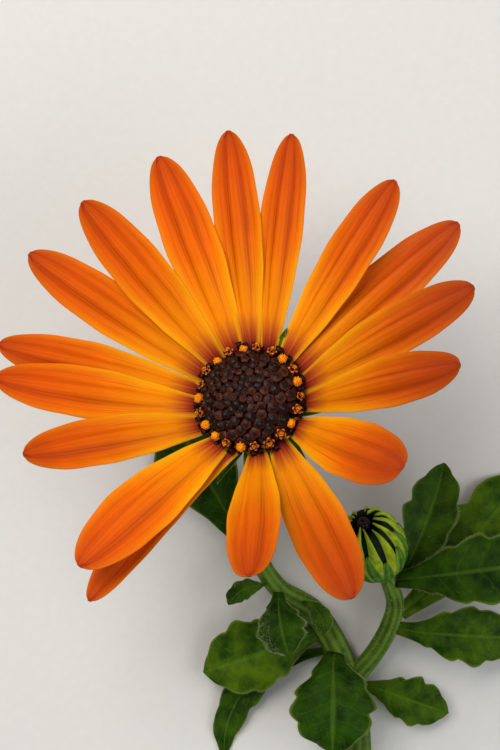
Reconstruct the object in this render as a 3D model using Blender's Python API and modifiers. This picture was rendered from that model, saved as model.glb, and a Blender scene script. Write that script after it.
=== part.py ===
"""Cut flowering shoot of an osteospermum (African daisy), laid on a flat surface with its bloom facing up.

The frame: metres, +Z up. The origin lies on the surface, on the flat under the main stem where the flower
stalk starts to rise, +Y runs from the cut end towards the bloom, and nothing reaches below Z = 0.
"""

import math

import bmesh
import bpy
import numpy as np
from mathutils import Matrix, Vector

MM = 0.001
GAP = 0.3 * MM  # between solids that touch on the real plant

# The bloom's own frame: its origin is the centre of the disc's rim, its +Z the direction it faces.
BLOOM_CENTRE = Vector((-8.4, 28.0, 24.0)) * MM
BLOOM_TILT = math.radians(20.0)  # from straight up
BLOOM_FACES = math.radians(126.0)  # heading of that tilt, from +X

# Disc: a dome set with closed florets, and a ring of open florets with pollen round its foot.
DOME_RADIUS = 5.6 * MM
DOME_HEIGHT = 3.4 * MM
DISC_FOOT = -1.3 * MM  # where the disc's plug stands on the receptacle
PLUG_RADIUS = 4.2 * MM
GOLDEN_ANGLE = math.radians(137.508)
FLORET_PITCH_INNER = 0.76 * MM  # centre to centre at the top of the dome
FLORET_PITCH_OUTER = 1.34 * MM  # and at its foot
FLORET_HEIGHT = 0.62  # as a share of the pitch
OPEN_FLORETS = 22
OPEN_FLORET_RADIUS = 0.34 * MM
POLLEN_RADIUS = 0.58 * MM

# Ray petals, rooted in a ring of claws round the disc's plug.
CLAW_RING = (4.6 * MM, 6.3 * MM)  # inner and outer radius
CLAW_RING_LEVELS = (-1.3 * MM, -0.5 * MM)
PETAL_ROOT_RADIUS = 5.5 * MM
PETAL_ROOT_LEVEL = -0.9 * MM
PETAL_LAYER_STEP = 0.3 * MM
PETAL_THICKNESS = 0.6 * MM
# One row for each petal: root azimuth, lean (how far it points off the radius), sweep (how much it curves
# sideways), length, width, lift (above the disc's plane), arch (how much its pitch falls from root to tip) and
# layer (1 lies over its neighbours). Angles are in degrees, sizes in millimetres.
PETALS = (
    (357, 2, 0, 26.5, 6.2, 36, 6, 0),
    (17, 3, 0, 26.7, 6.4, 25, 10, 1),
    (36.5, 1, 0, 27.5, 6.6, 14, 12, 0),
    (53.5, -1.5, 0, 26.6, 6.0, 22, 6, 1),
    (73, 7, 0, 27.5, 5.4, 23, 8, 0),
    (93, 0, 0, 27.6, 5.8, 24, 5, 1),
    (111.5, -2, 0, 26.7, 6.6, 26, 8, 0),
    (131.5, -1, 0, 26.6, 6.4, 27, 6, 1),
    (148.5, -1, 0, 27.3, 6.2, 24, 8, 0),
    (167, 4, 0, 26.3, 5.8, 25, 6, 0),
    (184.5, -3.5, -6, 26.2, 6.3, 28, 6, 1),
    (206, -7, 0, 24.4, 6.1, 32, 10, 0),
    (234, -1.5, 0, 26.2, 7.6, 29, 24, 1),
    (253, -30.5, 20, 26.9, 4.8, 17, 12, 0),
    (277, 2, 0, 25.9, 6.4, 41, -4, 0),
    (302.5, -4.5, 0, 26.4, 7.1, 23, 4, 1),
    (329, -1, 0, 26.1, 7.4, 43, 2, 0),
)

# Involucre: the receptacle's green cup with its bracts, from the stalk's joint up.
CUP_TOP = -1.6 * MM
CUP_RADIUS = 5.9 * MM
CUP_DEPTH = 4.8 * MM
BRACTS = 16
BRACT_START = 19.0  # azimuth of the first, so that one shows between two petals
BRACT_LENGTH = 6.8 * MM
BRACT_WIDTH = 2.3 * MM
BRACT_THICKNESS = 0.6 * MM

# Bud: rolled petals held in a cup of bracts.
BUD_BASE = Vector((8.2, 6.6, 9.2)) * MM
BUD_AXIS = Vector((-0.30, 0.66, 0.69)).normalized()
BUD_LENGTH = 9.8 * MM
BUD_RADIUS = 3.7 * MM
BUD_BRACTS = 13
BUD_RIM = 0.92  # where the bracts part, as a share of the length
BUD_HOLLOW_RADIUS = 1.7 * MM
BUD_HOLLOW_DEPTH = 2.6 * MM
BUD_PETALS = 7

# Stems: points along each centre line with the radius there, in millimetres.
STEM_FLAT = 0.15  # how deep the surface presses a flat into the main stem
MAIN_RADIUS = 1.6
LYING = MAIN_RADIUS - STEM_FLAT
MAIN_STEM = (
    (5.0, -28.0, LYING, MAIN_RADIUS),
    (5.4, -17.0, LYING, MAIN_RADIUS),
    (4.2, -8.0, LYING, MAIN_RADIUS),
    (0.0, 0.0, LYING, MAIN_RADIUS),
    (-5.2, 4.0, 2.9, 1.25),
    (-8.0, 9.5, 4.9, 1.15),
    (-7.9, 17.0, 8.0, 1.15),
    (-6.6, 23.2, 12.2, 1.2),
)
STALK_TOP_RADIUS = 1.35
SIDE_SHOOT = (
    (4.3, -8.4, LYING, 1.3),
    (7.2, -5.0, 2.4, 1.25),
    (9.2, -1.2, 4.2, 1.2),
    (9.9, 2.0, 5.6, 1.1),
    (9.1, 4.7, 7.35, 1.05),
)

# Leaves: name: stem ("main" or "side"), place along it from 0 to 1, then heading, pitch, bend, sweep and roll
# in degrees, length and width in millimetres, and as shares of the half width the fold (rise of the sides),
# the curl (fall of the margin) and the wave of the margin.
LEAF_THICKNESS = 0.7 * MM
LEAF_COLUMNS = 4
LEAF_ROWS = 13
ROWS_PER_TOOTH = 3
TOOTH = 0.26  # how far the margin's teeth stand out, as a share of the half width
LEAVES = {
    "leaf_01_broad_left": ("main", 0.35, 196, 18, 35, 4, 0, 14.6, 9.4, 0.10, 0.10, 0.12),
    "leaf_02_curled_left": ("main", 0.49, 268, 60, 88, 24, 0, 8.6, 6.0, 0.10, 0.26, 0.05),
    "leaf_03_curled_right": ("main", 0.425, 340, 38, 70, -75, 0, 5.2, 2.5, 0.10, 0.20, 0.05),
    "leaf_04_small_left": ("main", 0.53, 165, 40, 50, 80, 0, 5.6, 2.6, 0.30, 0.00, 0.05),
    "leaf_05_folded_left": ("main", 0.31, 181, -4, 2, 94, 0, 20.5, 4.4, 0.55, 0.00, 0.00),
    "leaf_06_under_bloom": ("main", 0.61, 122, -6, 16, -6, 0, 27.0, 9.5, 0.25, 0.10, 0.08),
    "leaf_07_wavy_front": ("main", 0.30, 268, 55, 80, 2, 0, 13.6, 10.5, 0.10, 0.15, 0.18),
    "leaf_08_broad_right": ("side", 0.84, 8, 22, 50, -2, 0, 19.0, 8.6, 0.20, 0.20, 0.08),
    "leaf_09_behind_bud": ("side", 0.80, 62, 15, 35, 14, 0, 15.5, 6.6, 0.40, 0.00, 0.05),
    "leaf_10_long_right": ("side", 0.50, 45, -4, 16, 6, 0, 26.0, 8.5, 0.20, 0.10, 0.05),
    "leaf_11_low_right": ("side", 0.42, 356, 15, 40, 0, 0, 15.5, 7.2, 0.20, 0.15, 0.08),
    "leaf_12_front_tip": ("main", 0.23, 340, 12, 30, 0, 0, 11.0, 6.0, 0.20, 0.10, 0.05),
}


def clear_scene():
    for obj in list(bpy.data.objects):
        bpy.data.objects.remove(obj)


def new_collection(name):
    made = bpy.data.collections.new(name)
    bpy.context.scene.collection.children.link(made)
    return made


def new_material(name, colour, roughness):
    """A Principled BSDF with a linear base colour."""
    made = bpy.data.materials.new(name)
    made.use_nodes = True
    shader = made.node_tree.nodes["Principled BSDF"]
    shader.inputs["Base Color"].default_value = (*colour, 1.0)
    shader.inputs["Roughness"].default_value = roughness
    shader.inputs["Metallic"].default_value = 0.0
    return made


def new_object(name, mesh, collection, material=None):
    obj = bpy.data.objects.new(name, mesh)
    collection.objects.link(obj)
    if material is not None:
        obj.data.materials.clear()
        obj.data.materials.append(material)
    return obj


def applied(obj, weld=1e-6):
    """Replaces the object's mesh by what its modifiers, or its curve, make of it, with loose caps welded."""
    bpy.context.view_layer.update()
    evaluated = obj.evaluated_get(bpy.context.evaluated_depsgraph_get())
    mesh = bpy.data.meshes.new_from_object(evaluated)
    bm = bmesh.new()
    bm.from_mesh(mesh)
    bmesh.ops.remove_doubles(bm, verts=bm.verts, dist=weld)
    bm.to_mesh(mesh)
    bm.free()
    made = bpy.data.objects.new(obj.name + "_mesh", mesh)
    made.matrix_world = obj.matrix_world.copy()
    for collection in obj.users_collection:
        collection.objects.link(made)
    name = obj.name
    bpy.data.objects.remove(obj)
    made.name = name
    return made


def fused(body, repeats):
    """Joins every object of the collection to the body with one Boolean union, then removes them."""
    union = body.modifiers.new("join", "BOOLEAN")
    union.operation = "UNION"
    union.solver = "MANIFOLD"
    union.operand_type = "COLLECTION"
    union.collection = repeats
    body = applied(body, 2e-7)
    for obj in list(repeats.objects):
        bpy.data.objects.remove(obj)
    bpy.data.collections.remove(repeats)
    return body


def cut(body, cutter):
    """Takes the cutter's shape out of the body, and removes the cutter."""
    difference = body.modifiers.new("cut", "BOOLEAN")
    difference.operation = "DIFFERENCE"
    difference.solver = "MANIFOLD"
    difference.object = cutter
    body = applied(body, 2e-7)
    bpy.data.objects.remove(cutter)
    return body


def smooth(obj, sharp_above=40.0):
    obj.data.shade_smooth()
    obj.data.set_sharp_from_angle(angle=math.radians(sharp_above))


def turned(name, profile, sides, collection):
    """A solid of revolution about Z. The profile runs down its outer side, axis to axis."""
    mesh = bpy.data.meshes.new(name)
    mesh.from_pydata([(r, 0.0, z) for r, z in profile], [(i, i + 1) for i in range(len(profile) - 1)], [])
    obj = new_object(name, mesh, collection)
    screw = obj.modifiers.new("turn", "SCREW")
    screw.steps = sides
    screw.render_steps = sides
    screw.use_merge_vertices = True
    screw.merge_threshold = 1e-6
    screw.use_smooth_shade = False
    return applied(obj)


def smooth_path(points, steps):
    """Catmull-Rom curve through rows of numbers, with this many steps between neighbours."""
    rows = np.array(points, float)
    rows = np.vstack([2 * rows[0] - rows[1], rows, 2 * rows[-1] - rows[-2]])
    made = []
    for before, start, end, after in zip(rows, rows[1:], rows[2:], rows[3:]):
        for t in np.arange(steps) / steps:
            made.append(
                start
                + 0.5 * t * (end - before)
                + t * t * (before - 2.5 * start + 2 * end - 0.5 * after)
                + t * t * t * (1.5 * (start - end) + 0.5 * (after - before))
            )
    made.append(rows[-2])
    return np.array(made)


def tube(name, rows, collection, sides_resolution=1):
    """A round stem through rows of x, y, z and radius in millimetres, with filled caps."""
    curve = bpy.data.curves.new(name, "CURVE")
    curve.dimensions = "3D"
    curve.bevel_depth = MM
    curve.bevel_resolution = sides_resolution
    curve.use_fill_caps = True
    spline = curve.splines.new("POLY")
    spline.points.add(len(rows) - 1)
    for point, (x, y, z, radius) in zip(spline.points, rows):
        point.co = (x * MM, y * MM, z * MM, 1.0)
        point.radius = radius
    obj = bpy.data.objects.new(name, curve)
    collection.objects.link(obj)
    return applied(obj)


def spine(start, heading, pitch, length, sweep, bend, samples=48):
    """A line from start whose heading turns by sweep and whose pitch falls by bend, both evenly.

    Returns its points and unit tangents at even shares of its length.
    """
    share = np.linspace(0.0, 1.0, samples + 1)
    turn = np.radians(heading + sweep * share)
    rise = np.radians(pitch - bend * share)
    tangents = np.stack([np.cos(rise) * np.cos(turn), np.cos(rise) * np.sin(turn), np.sin(rise)], axis=1)
    steps = 0.5 * (tangents[1:] + tangents[:-1]) * length / samples
    points = np.vstack([np.zeros(3), np.cumsum(steps, axis=0)]) + np.array(start)
    return share, points, tangents


def blade(name, line, outline, section, shares, columns, thickness, collection, roll=0.0, floor=None):
    """A thin closed blade: a grid laid along a spine, given its wall by Solidify.

    Its rows stand at these shares of the length. At share s and place v across, from -1 to 1, outline(s, v) is
    the half width and section(s, v) the height over the spine. With a floor, the blade lies on that level
    instead of sinking through it.
    """
    share, points, tangents = line
    rows = len(shares) - 1
    bm = bmesh.new()
    bmesh.ops.create_grid(bm, x_segments=columns, y_segments=rows, size=1.0)
    for vert in bm.verts:
        s, v = shares[round(0.5 * (vert.co.y + 1.0) * rows)], vert.co.x
        middle = np.array([np.interp(s, share, points[:, axis]) for axis in range(3)])
        along = Vector([np.interp(s, share, tangents[:, axis]) for axis in range(3)]).normalized()
        across = along.cross(Vector((0.0, 0.0, 1.0))).normalized()
        across = Matrix.Rotation(math.radians(roll), 3, along) @ across
        up = across.cross(along)
        vert.co = Vector(middle) + across * outline(s, v) * v + up * section(s, v)
        if floor is not None:
            vert.co.z = max(vert.co.z, floor + 0.5 * thickness)
    bmesh.ops.triangulate(bm, faces=bm.faces)
    mesh = bpy.data.meshes.new(name)
    bm.to_mesh(mesh)
    bm.free()
    obj = new_object(name, mesh, collection)
    wall = obj.modifiers.new("wall", "SOLIDIFY")
    wall.thickness = thickness
    wall.offset = 0.0
    obj = applied(obj)
    if floor is not None:
        for vert in obj.data.vertices:
            vert.co.z = max(vert.co.z, floor)
    return obj


def bloom_matrix():
    """Places the bloom's own frame: tilted about the level line square to the heading it faces."""
    level = Vector((-math.sin(BLOOM_FACES), math.cos(BLOOM_FACES), 0.0))
    return Matrix.Translation(BLOOM_CENTRE) @ Matrix.Rotation(BLOOM_TILT, 4, level)


def axis_matrix(origin, axis):
    """A frame at origin whose +Z is axis."""
    return Matrix.Translation(origin) @ axis.to_track_quat("Z", "Y").to_matrix().to_4x4()


def placed(obj, matrix):
    obj.data.transform(matrix)
    return obj


def petal_outline(s, width):
    """Half width: a narrow claw, widest at three fifths, and a rounded tip."""
    opening = 0.40 + 0.60 * math.sin(0.5 * math.pi * min(s / 0.60, 1.0)) ** 1.2
    closing = (1.0 - min(1.0, max(0.0, (s - 0.5) / 0.5)) ** 3.0) ** 0.60
    return 0.5 * width * max(opening * closing, 0.16)


def petal_section(s, v, width):
    """Two shallow grooves beside a low middle rib, and margins that fall away."""
    return petal_outline(s, width) * (0.11 * math.cos(2.0 * math.pi * v) * math.sin(math.pi * s) - 0.18 * v * v)


def closing_shares(rows, power):
    """Shares of the length that stand closer together towards the tip."""
    return 1.0 - (1.0 - np.linspace(0.0, 1.0, rows + 1)) ** power


def ray_petals(collection, material):
    repeats = new_collection("petals_to_join")
    for number, (azimuth, lean, sweep, length, width, lift, arch, layer) in enumerate(PETALS):
        root = math.radians(azimuth)
        start = (
            PETAL_ROOT_RADIUS * math.cos(root),
            PETAL_ROOT_RADIUS * math.sin(root),
            PETAL_ROOT_LEVEL + PETAL_LAYER_STEP * (layer - 0.5),
        )
        line = spine(start, azimuth + lean, lift + 0.5 * arch, length * MM, sweep, arch)
        blade(
            f"petal_{number + 1}", line,
            lambda s, v, width=width: petal_outline(s, width * MM),
            lambda s, v, width=width: petal_section(s, v, width * MM),
            closing_shares(9, 1.35), 4, PETAL_THICKNESS, repeats,
        )
    low, high = CLAW_RING_LEVELS
    inner, outer = CLAW_RING
    ring = turned(
        "ray_petals", [(inner, high), (outer, high), (outer, low), (inner, low), (inner, high)], 34, collection
    )
    return finish(fused(ring, repeats), bloom_matrix(), material)


def finish(obj, matrix, material):
    placed(obj, matrix)
    obj.data.materials.clear()
    obj.data.materials.append(material)
    smooth(obj)
    return obj


def dome_point(radius):
    """The dome's surface point and outward direction at this distance from its axis, in the XZ plane."""
    share = min(radius / DOME_RADIUS, 1.0)
    height = DOME_HEIGHT * math.sqrt(1.0 - share * share)
    outward = Vector((radius / DOME_RADIUS**2, 0.0, height / DOME_HEIGHT**2)).normalized()
    return Vector((radius, 0.0, height)), (outward + Vector((0.0, 0.0, 0.6))).normalized()


def floret_pitch(radius):
    share = radius / DOME_RADIUS
    return FLORET_PITCH_INNER + (FLORET_PITCH_OUTER - FLORET_PITCH_INNER) * share


def floret_radii():
    """Distances of the florets from the axis: each has a cell as large as its pitch asks, on the dome's slope."""
    radius = np.linspace(0.0, DOME_RADIUS * 0.985, 400)
    slope = DOME_HEIGHT / DOME_RADIUS * (radius / DOME_RADIUS) / np.sqrt(1.0 - (radius / DOME_RADIUS) ** 2)
    density = 2.0 * math.pi * radius * np.sqrt(1.0 + slope**2) / (0.87 * floret_pitch(radius) ** 2)
    step = radius[1]
    count = np.concatenate([[0.0], np.cumsum(0.5 * (density[1:] + density[:-1]) * step)])
    return np.interp(np.arange(int(count[-1])) + 0.5, count, radius)


def floret(name, base, outward, radius, height, collection, sides=5):
    """A closed floret: a slightly tapered bud sunk into the dome."""
    sunk = 0.45 * MM
    bm = bmesh.new()
    bmesh.ops.create_cone(
        bm, cap_ends=True, segments=sides, radius1=radius, radius2=0.62 * radius, depth=height + sunk,
        matrix=Matrix.Translation((0.0, 0.0, 0.5 * (height - sunk))),
    )
    bm.transform(axis_matrix(base, outward))
    mesh = bpy.data.meshes.new(name)
    bm.to_mesh(mesh)
    bm.free()
    return new_object(name, mesh, collection)


def disc_florets(collection, material):
    repeats = new_collection("florets_to_join")
    for number, radius in enumerate(floret_radii()):
        turn = Matrix.Rotation(number * GOLDEN_ANGLE, 3, "Z")
        base, outward = dome_point(radius)
        pitch = floret_pitch(radius)
        floret(f"floret_{number}", turn @ base, turn @ outward, 0.47 * pitch, FLORET_HEIGHT * pitch, repeats)
    for number in range(OPEN_FLORETS):
        open_floret(number, repeats)
    arc = [math.radians(a) for a in range(90, -1, -15)]
    profile = [(DOME_RADIUS * math.cos(a), DOME_HEIGHT * math.sin(a)) for a in arc]
    profile[0] = (0.0, DOME_HEIGHT)
    profile += [(DOME_RADIUS, -0.2 * MM), (PLUG_RADIUS, -0.2 * MM), (PLUG_RADIUS, DISC_FOOT), (0.0, DISC_FOOT)]
    dome = turned("disc_florets", profile, 24, collection)
    return finish(fused(dome, repeats), bloom_matrix(), material)


def open_floret(number, collection):
    """An open floret at the dome's foot: a leaning tube with a head of pollen."""
    turn = Matrix.Rotation(2.0 * math.pi * number / OPEN_FLORETS, 3, "Z")
    lean = math.radians(30.0 if number % 2 else 42.0)
    outward = turn @ Vector((math.sin(lean), 0.0, math.cos(lean)))
    foot = turn @ Vector((DOME_RADIUS - 0.15 * MM, 0.0, 0.5 * MM))
    length = 1.35 * MM if number % 2 else 1.0 * MM
    floret(f"open_{number}", foot, outward, OPEN_FLORET_RADIUS, length, collection)
    bm = bmesh.new()
    bmesh.ops.create_icosphere(bm, subdivisions=1, radius=POLLEN_RADIUS)
    bm.transform(Matrix.Translation(foot + outward * length))
    mesh = bpy.data.meshes.new(f"pollen_{number}")
    bm.to_mesh(mesh)
    bm.free()
    new_object(f"pollen_{number}", mesh, collection)


def involucre(collection, material):
    """The receptacle's cup with its bracts, which spread under the petals."""
    repeats = new_collection("bracts_to_join")
    for number in range(BRACTS):
        azimuth = 360.0 * number / BRACTS + BRACT_START
        root = math.radians(azimuth)
        start = (4.0 * MM * math.cos(root), 4.0 * MM * math.sin(root), CUP_TOP - 2.2 * MM)
        line = spine(start, azimuth, 16.0, BRACT_LENGTH, 0.0, 4.0)
        blade(
            f"bract_{number}", line,
            lambda s, v: 0.5 * BRACT_WIDTH * max(1.0 - s**1.8, 0.16),
            lambda s, v: 0.12 * BRACT_WIDTH * v * v,
            np.linspace(0.0, 1.0, 5), 2, BRACT_THICKNESS, repeats,
        )
    base = CUP_TOP - CUP_DEPTH
    neck = (STALK_TOP_RADIUS + 0.1) * MM
    profile = [
        (0.0, CUP_TOP), (CUP_RADIUS - 0.5 * MM, CUP_TOP), (CUP_RADIUS, CUP_TOP - 0.6 * MM),
        (0.88 * CUP_RADIUS, CUP_TOP - 2.0 * MM), (0.52 * CUP_RADIUS, CUP_TOP - 3.6 * MM), (neck, base), (0.0, base),
    ]
    cup = turned("involucre", profile, 24, collection)
    return finish(fused(cup, repeats), bloom_matrix(), material)


def bud_profile(s):
    """The bud's radius at share s of its length."""
    return BUD_RADIUS * math.sin(math.pi * (0.08 + 0.78 * s)) ** 0.62


def bud(collection, green, dark):
    """A cup of bracts round a hollow, and the rolled petals that stand in it."""
    frame = axis_matrix(BUD_BASE, BUD_AXIS)
    repeats = new_collection("bud_bracts_to_join")
    for number in range(BUD_BRACTS):
        bud_bract(number, repeats)
    floor = BUD_LENGTH - BUD_HOLLOW_DEPTH
    profile = [(0.0, floor), (BUD_HOLLOW_RADIUS, floor), (BUD_HOLLOW_RADIUS, BUD_RIM * BUD_LENGTH)]
    profile += [(bud_profile(s), BUD_LENGTH * s) for s in np.linspace(BUD_RIM, 0.0, 7)]
    profile += [(0.0, 0.0)]
    body = turned("bud_bracts", profile, 20, collection)
    bud_petals(frame, collection, dark)
    return finish(fused(body, repeats), frame, green)


def bud_bract(number, collection):
    """One bract, which follows the bud's side from its base and closes in at the top."""
    turn = Matrix.Rotation(2.0 * math.pi * number / BUD_BRACTS, 3, "Z")
    bm = bmesh.new()
    bmesh.ops.create_grid(bm, x_segments=2, y_segments=6, size=1.0)
    for vert in bm.verts:
        s, v = 0.5 * (vert.co.y + 1.0), vert.co.x
        reach = 0.08 + 0.94 * s
        radius = bud_profile(min(reach, 1.0)) + 0.10 * MM - 0.12 * MM * v * v
        half = 0.58 * MM * math.sin(math.pi * (0.22 + 0.70 * s)) ** 0.8
        vert.co = turn @ Vector((radius, half * v, BUD_LENGTH * reach))
    bmesh.ops.triangulate(bm, faces=bm.faces)
    mesh = bpy.data.meshes.new(f"bud_bract_{number}")
    bm.to_mesh(mesh)
    bm.free()
    obj = new_object(mesh.name, mesh, collection)
    wall = obj.modifiers.new("wall", "SOLIDIFY")
    wall.thickness = 1.0 * MM
    wall.offset = 0.0
    return applied(obj)


def bud_petals(frame, collection, material):
    """The tips of the rolled petals, which fill the hollow between the bracts."""
    repeats = new_collection("rolled_to_join")
    for number in range(BUD_PETALS):
        turn = Matrix.Rotation(2.0 * math.pi * number / BUD_PETALS, 3, "Z")
        base = turn @ Vector((0.72 * MM, 0.0, BUD_LENGTH - BUD_HOLLOW_DEPTH + 0.8 * MM))
        inward = turn @ Vector((-0.16, 0.06, 1.0)).normalized()
        floret(f"rolled_{number}", base, inward, 0.46 * MM, 2.2 * MM, repeats, sides=6)
    foot = BUD_LENGTH - BUD_HOLLOW_DEPTH + GAP
    top = foot + 1.3 * MM
    radius = BUD_HOLLOW_RADIUS - 1.5 * GAP
    core = turned("bud_petals", [(0.0, top), (0.8 * radius, top), (radius, foot), (0.0, foot)], 12, collection)
    return finish(fused(core, repeats), frame, material)


def stem_rows():
    """Centre lines and radii of both stems, in millimetres: the main one ends under the bloom's cup."""
    facing = bloom_matrix().to_3x3() @ Vector((0.0, 0.0, 1.0))
    joint = (BLOOM_CENTRE + facing * (CUP_TOP - CUP_DEPTH - GAP)) / MM
    main = smooth_path([*MAIN_STEM, (*joint, STALK_TOP_RADIUS)], 4)
    meet = (BUD_BASE - BUD_AXIS * GAP) / MM
    side = smooth_path([*SIDE_SHOOT, (*meet, 1.05)], 4)
    return {"main": main, "side": side}


def stem(rows, collection, material):
    """Main stem with the flower stalk, and the side shoot that carries the bud, grown together."""
    repeats = new_collection("shoots_to_join")
    tube("side_shoot", rows["side"], repeats)
    body = fused(tube("stem", rows["main"], collection, 2), repeats)
    ground = new_collection("ground")
    bpy.ops.mesh.primitive_cube_add(size=1.0, location=(0.0, 0.0, -0.5))
    block = bpy.context.active_object
    for users in list(block.users_collection):
        users.objects.unlink(block)
    ground.objects.link(block)
    body = cut(body, block)
    bpy.data.collections.remove(ground)
    return finish(body, Matrix.Identity(4), material)


def leaf_outline(s, v, width):
    """Half width: a narrow foot, widest past the middle, a short point and teeth that lean forward."""
    body = 0.24 + 0.76 * math.sin(0.5 * math.pi * min(s / 0.58, 1.0)) ** 1.5
    tip = (1.0 - min(1.0, max(0.0, (s - 0.50) / 0.50)) ** 2.4) ** 0.8
    beat = s * LEAF_ROWS + (0.0 if v > 0.0 else 1.0)
    tooth = 0.0
    if 0.2 < s < 0.95:
        tooth = TOOTH * (round(beat) % ROWS_PER_TOOTH) / (ROWS_PER_TOOTH - 1)
    return 0.5 * width * max(body * tip * (1.0 - 0.5 * TOOTH + tooth), 0.07)


def leaf_section(s, v, width, fold, curl, wave):
    """A sheet folded up along its midrib, with margins that curl down and wave."""
    half = 0.5 * width * math.sin(math.pi * (0.08 + 0.84 * s))
    ripple = wave * math.sin(2.0 * math.pi * (1.6 * s + 0.25 * v))
    return half * (fold * abs(v) - curl * v * v + ripple * v * v)


def leaf_line(spec, rows):
    """The spine of a leaf: it starts just off the stem's skin and leaves it square on."""
    path, place, heading, pitch, bend, sweep, _roll, length, *_ = spec
    line = rows[path]
    at = place * (len(line) - 1)
    here = np.array([np.interp(at, np.arange(len(line)), line[:, i]) for i in range(4)])
    ahead = line[min(int(at) + 1, len(line) - 1)][:3] - line[int(at)][:3]
    along = Vector(ahead).normalized()
    turn, rise = math.radians(heading), math.radians(pitch)
    leaving = Vector((math.cos(rise) * math.cos(turn), math.cos(rise) * math.sin(turn), math.sin(rise)))
    off = (leaving - along * leaving.dot(along)).normalized()
    start = (Vector(here[:3]) + off * (here[3] + 0.45)) * MM + off * GAP
    return spine(start, heading, pitch, length * MM, sweep, bend)


def leaf(name, spec, rows, collection, material):
    roll, _length, width, fold, curl, wave = spec[6:]
    obj = blade(
        name, leaf_line(spec, rows),
        lambda s, v: leaf_outline(s, v, width * MM),
        lambda s, v: leaf_section(s, v, width * MM, fold, curl, wave),
        np.linspace(0.0, 1.0, LEAF_ROWS + 1), LEAF_COLUMNS, LEAF_THICKNESS, collection, roll, floor=0.0,
    )
    obj.data.materials.append(material)
    smooth(obj)
    return obj


def main():
    clear_scene()
    parts = new_collection("osteospermum")
    orange = new_material("orange_petal", (0.95, 0.22, 0.005), 0.5)
    purple = new_material("dark_floret", (0.035, 0.012, 0.012), 0.45)
    stem_green = new_material("stem_green", (0.09, 0.16, 0.03), 0.55)
    leaf_green = new_material("leaf_green", (0.04, 0.12, 0.015), 0.5)
    bract_green = new_material("bract_green", (0.12, 0.24, 0.02), 0.5)
    rows = stem_rows()
    stem(rows, parts, stem_green)
    for name, spec in LEAVES.items():
        leaf(name, spec, rows, parts, leaf_green)
    involucre(parts, bract_green)
    ray_petals(parts, orange)
    disc_florets(parts, purple)
    bud(parts, bract_green, purple)


main()
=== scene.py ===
"""Dresses the osteospermum shoot: petals, florets, bracts, stems and leaves over the solids, and a stage.

Lengths are in millimetres and angles in degrees where they are named here; meshes are made in metres.
"""

import math
from functools import partial

import bpy
import numpy as np
from bpy.props import FloatProperty, FloatVectorProperty, IntProperty, PointerProperty
from mathutils import Matrix, Vector


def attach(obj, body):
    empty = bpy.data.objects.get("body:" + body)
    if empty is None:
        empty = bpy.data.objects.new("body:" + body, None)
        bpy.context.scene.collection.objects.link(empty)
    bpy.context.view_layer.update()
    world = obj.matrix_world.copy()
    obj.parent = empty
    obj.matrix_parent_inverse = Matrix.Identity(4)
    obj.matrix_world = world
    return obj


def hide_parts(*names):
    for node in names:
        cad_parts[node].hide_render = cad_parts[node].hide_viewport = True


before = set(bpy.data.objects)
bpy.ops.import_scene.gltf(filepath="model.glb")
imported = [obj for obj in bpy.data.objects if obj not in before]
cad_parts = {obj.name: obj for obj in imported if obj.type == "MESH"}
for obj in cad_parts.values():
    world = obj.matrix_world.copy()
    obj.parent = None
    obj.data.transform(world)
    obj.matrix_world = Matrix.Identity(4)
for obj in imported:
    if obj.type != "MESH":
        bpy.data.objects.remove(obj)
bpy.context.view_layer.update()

bl_info = {
    "name": "Osteospermum shoot",
    "version": (1, 0, 0),
    "blender": (4, 5, 0),
    "location": "3D View > Sidebar > Osteospermum",
    "description": "Builds the petals, disc, bud, stems and leaves of a cut osteospermum shoot",
    "category": "Add Mesh",
}

MM = 0.001
TAU = 2.0 * math.pi
SIDEWAYS = np.array([0.0, -1.0, 0.0])
UPRIGHT = np.array([0.0, 0.0, 1.0])
SEEDS = {"petals": 11, "disc": 5, "involucre": 8, "bud": 3, "stems": 21, "leaves": 17}

# The bloom's own frame: its origin is the centre of the disc's rim, its +Z the direction it faces.
BLOOM_CENTRE = (-8.4, 28.0, 24.0)
BLOOM_TILT = 20.0
BLOOM_FACES = 126.0

# Disc
DOME_RADIUS = 5.6
DOME_HEIGHT = 3.4
PLUG_RADIUS = 4.2
GOLDEN_ANGLE = 137.508
SPIRAL_ASIDE = 1.1  # how far the spiral's middle lies from the dome's
SPIRAL_TOWARDS = 150.0
FLORET_PITCH_INNER = 0.76
FLORET_PITCH_OUTER = 1.34
OPEN_FLORETS = 22
POLLEN_HEADS = (1, 3, 6, 8, 11, 13, 14, 16, 20)  # open florets that carry a ball of pollen
POLLEN_RADIUS = 0.49
POLLEN_GRAINS = 72  # on each ball
STYLE_GRAINS = 12  # on each crown's style
LOBES = 5
TUBE_RADIUS = 0.36

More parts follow.
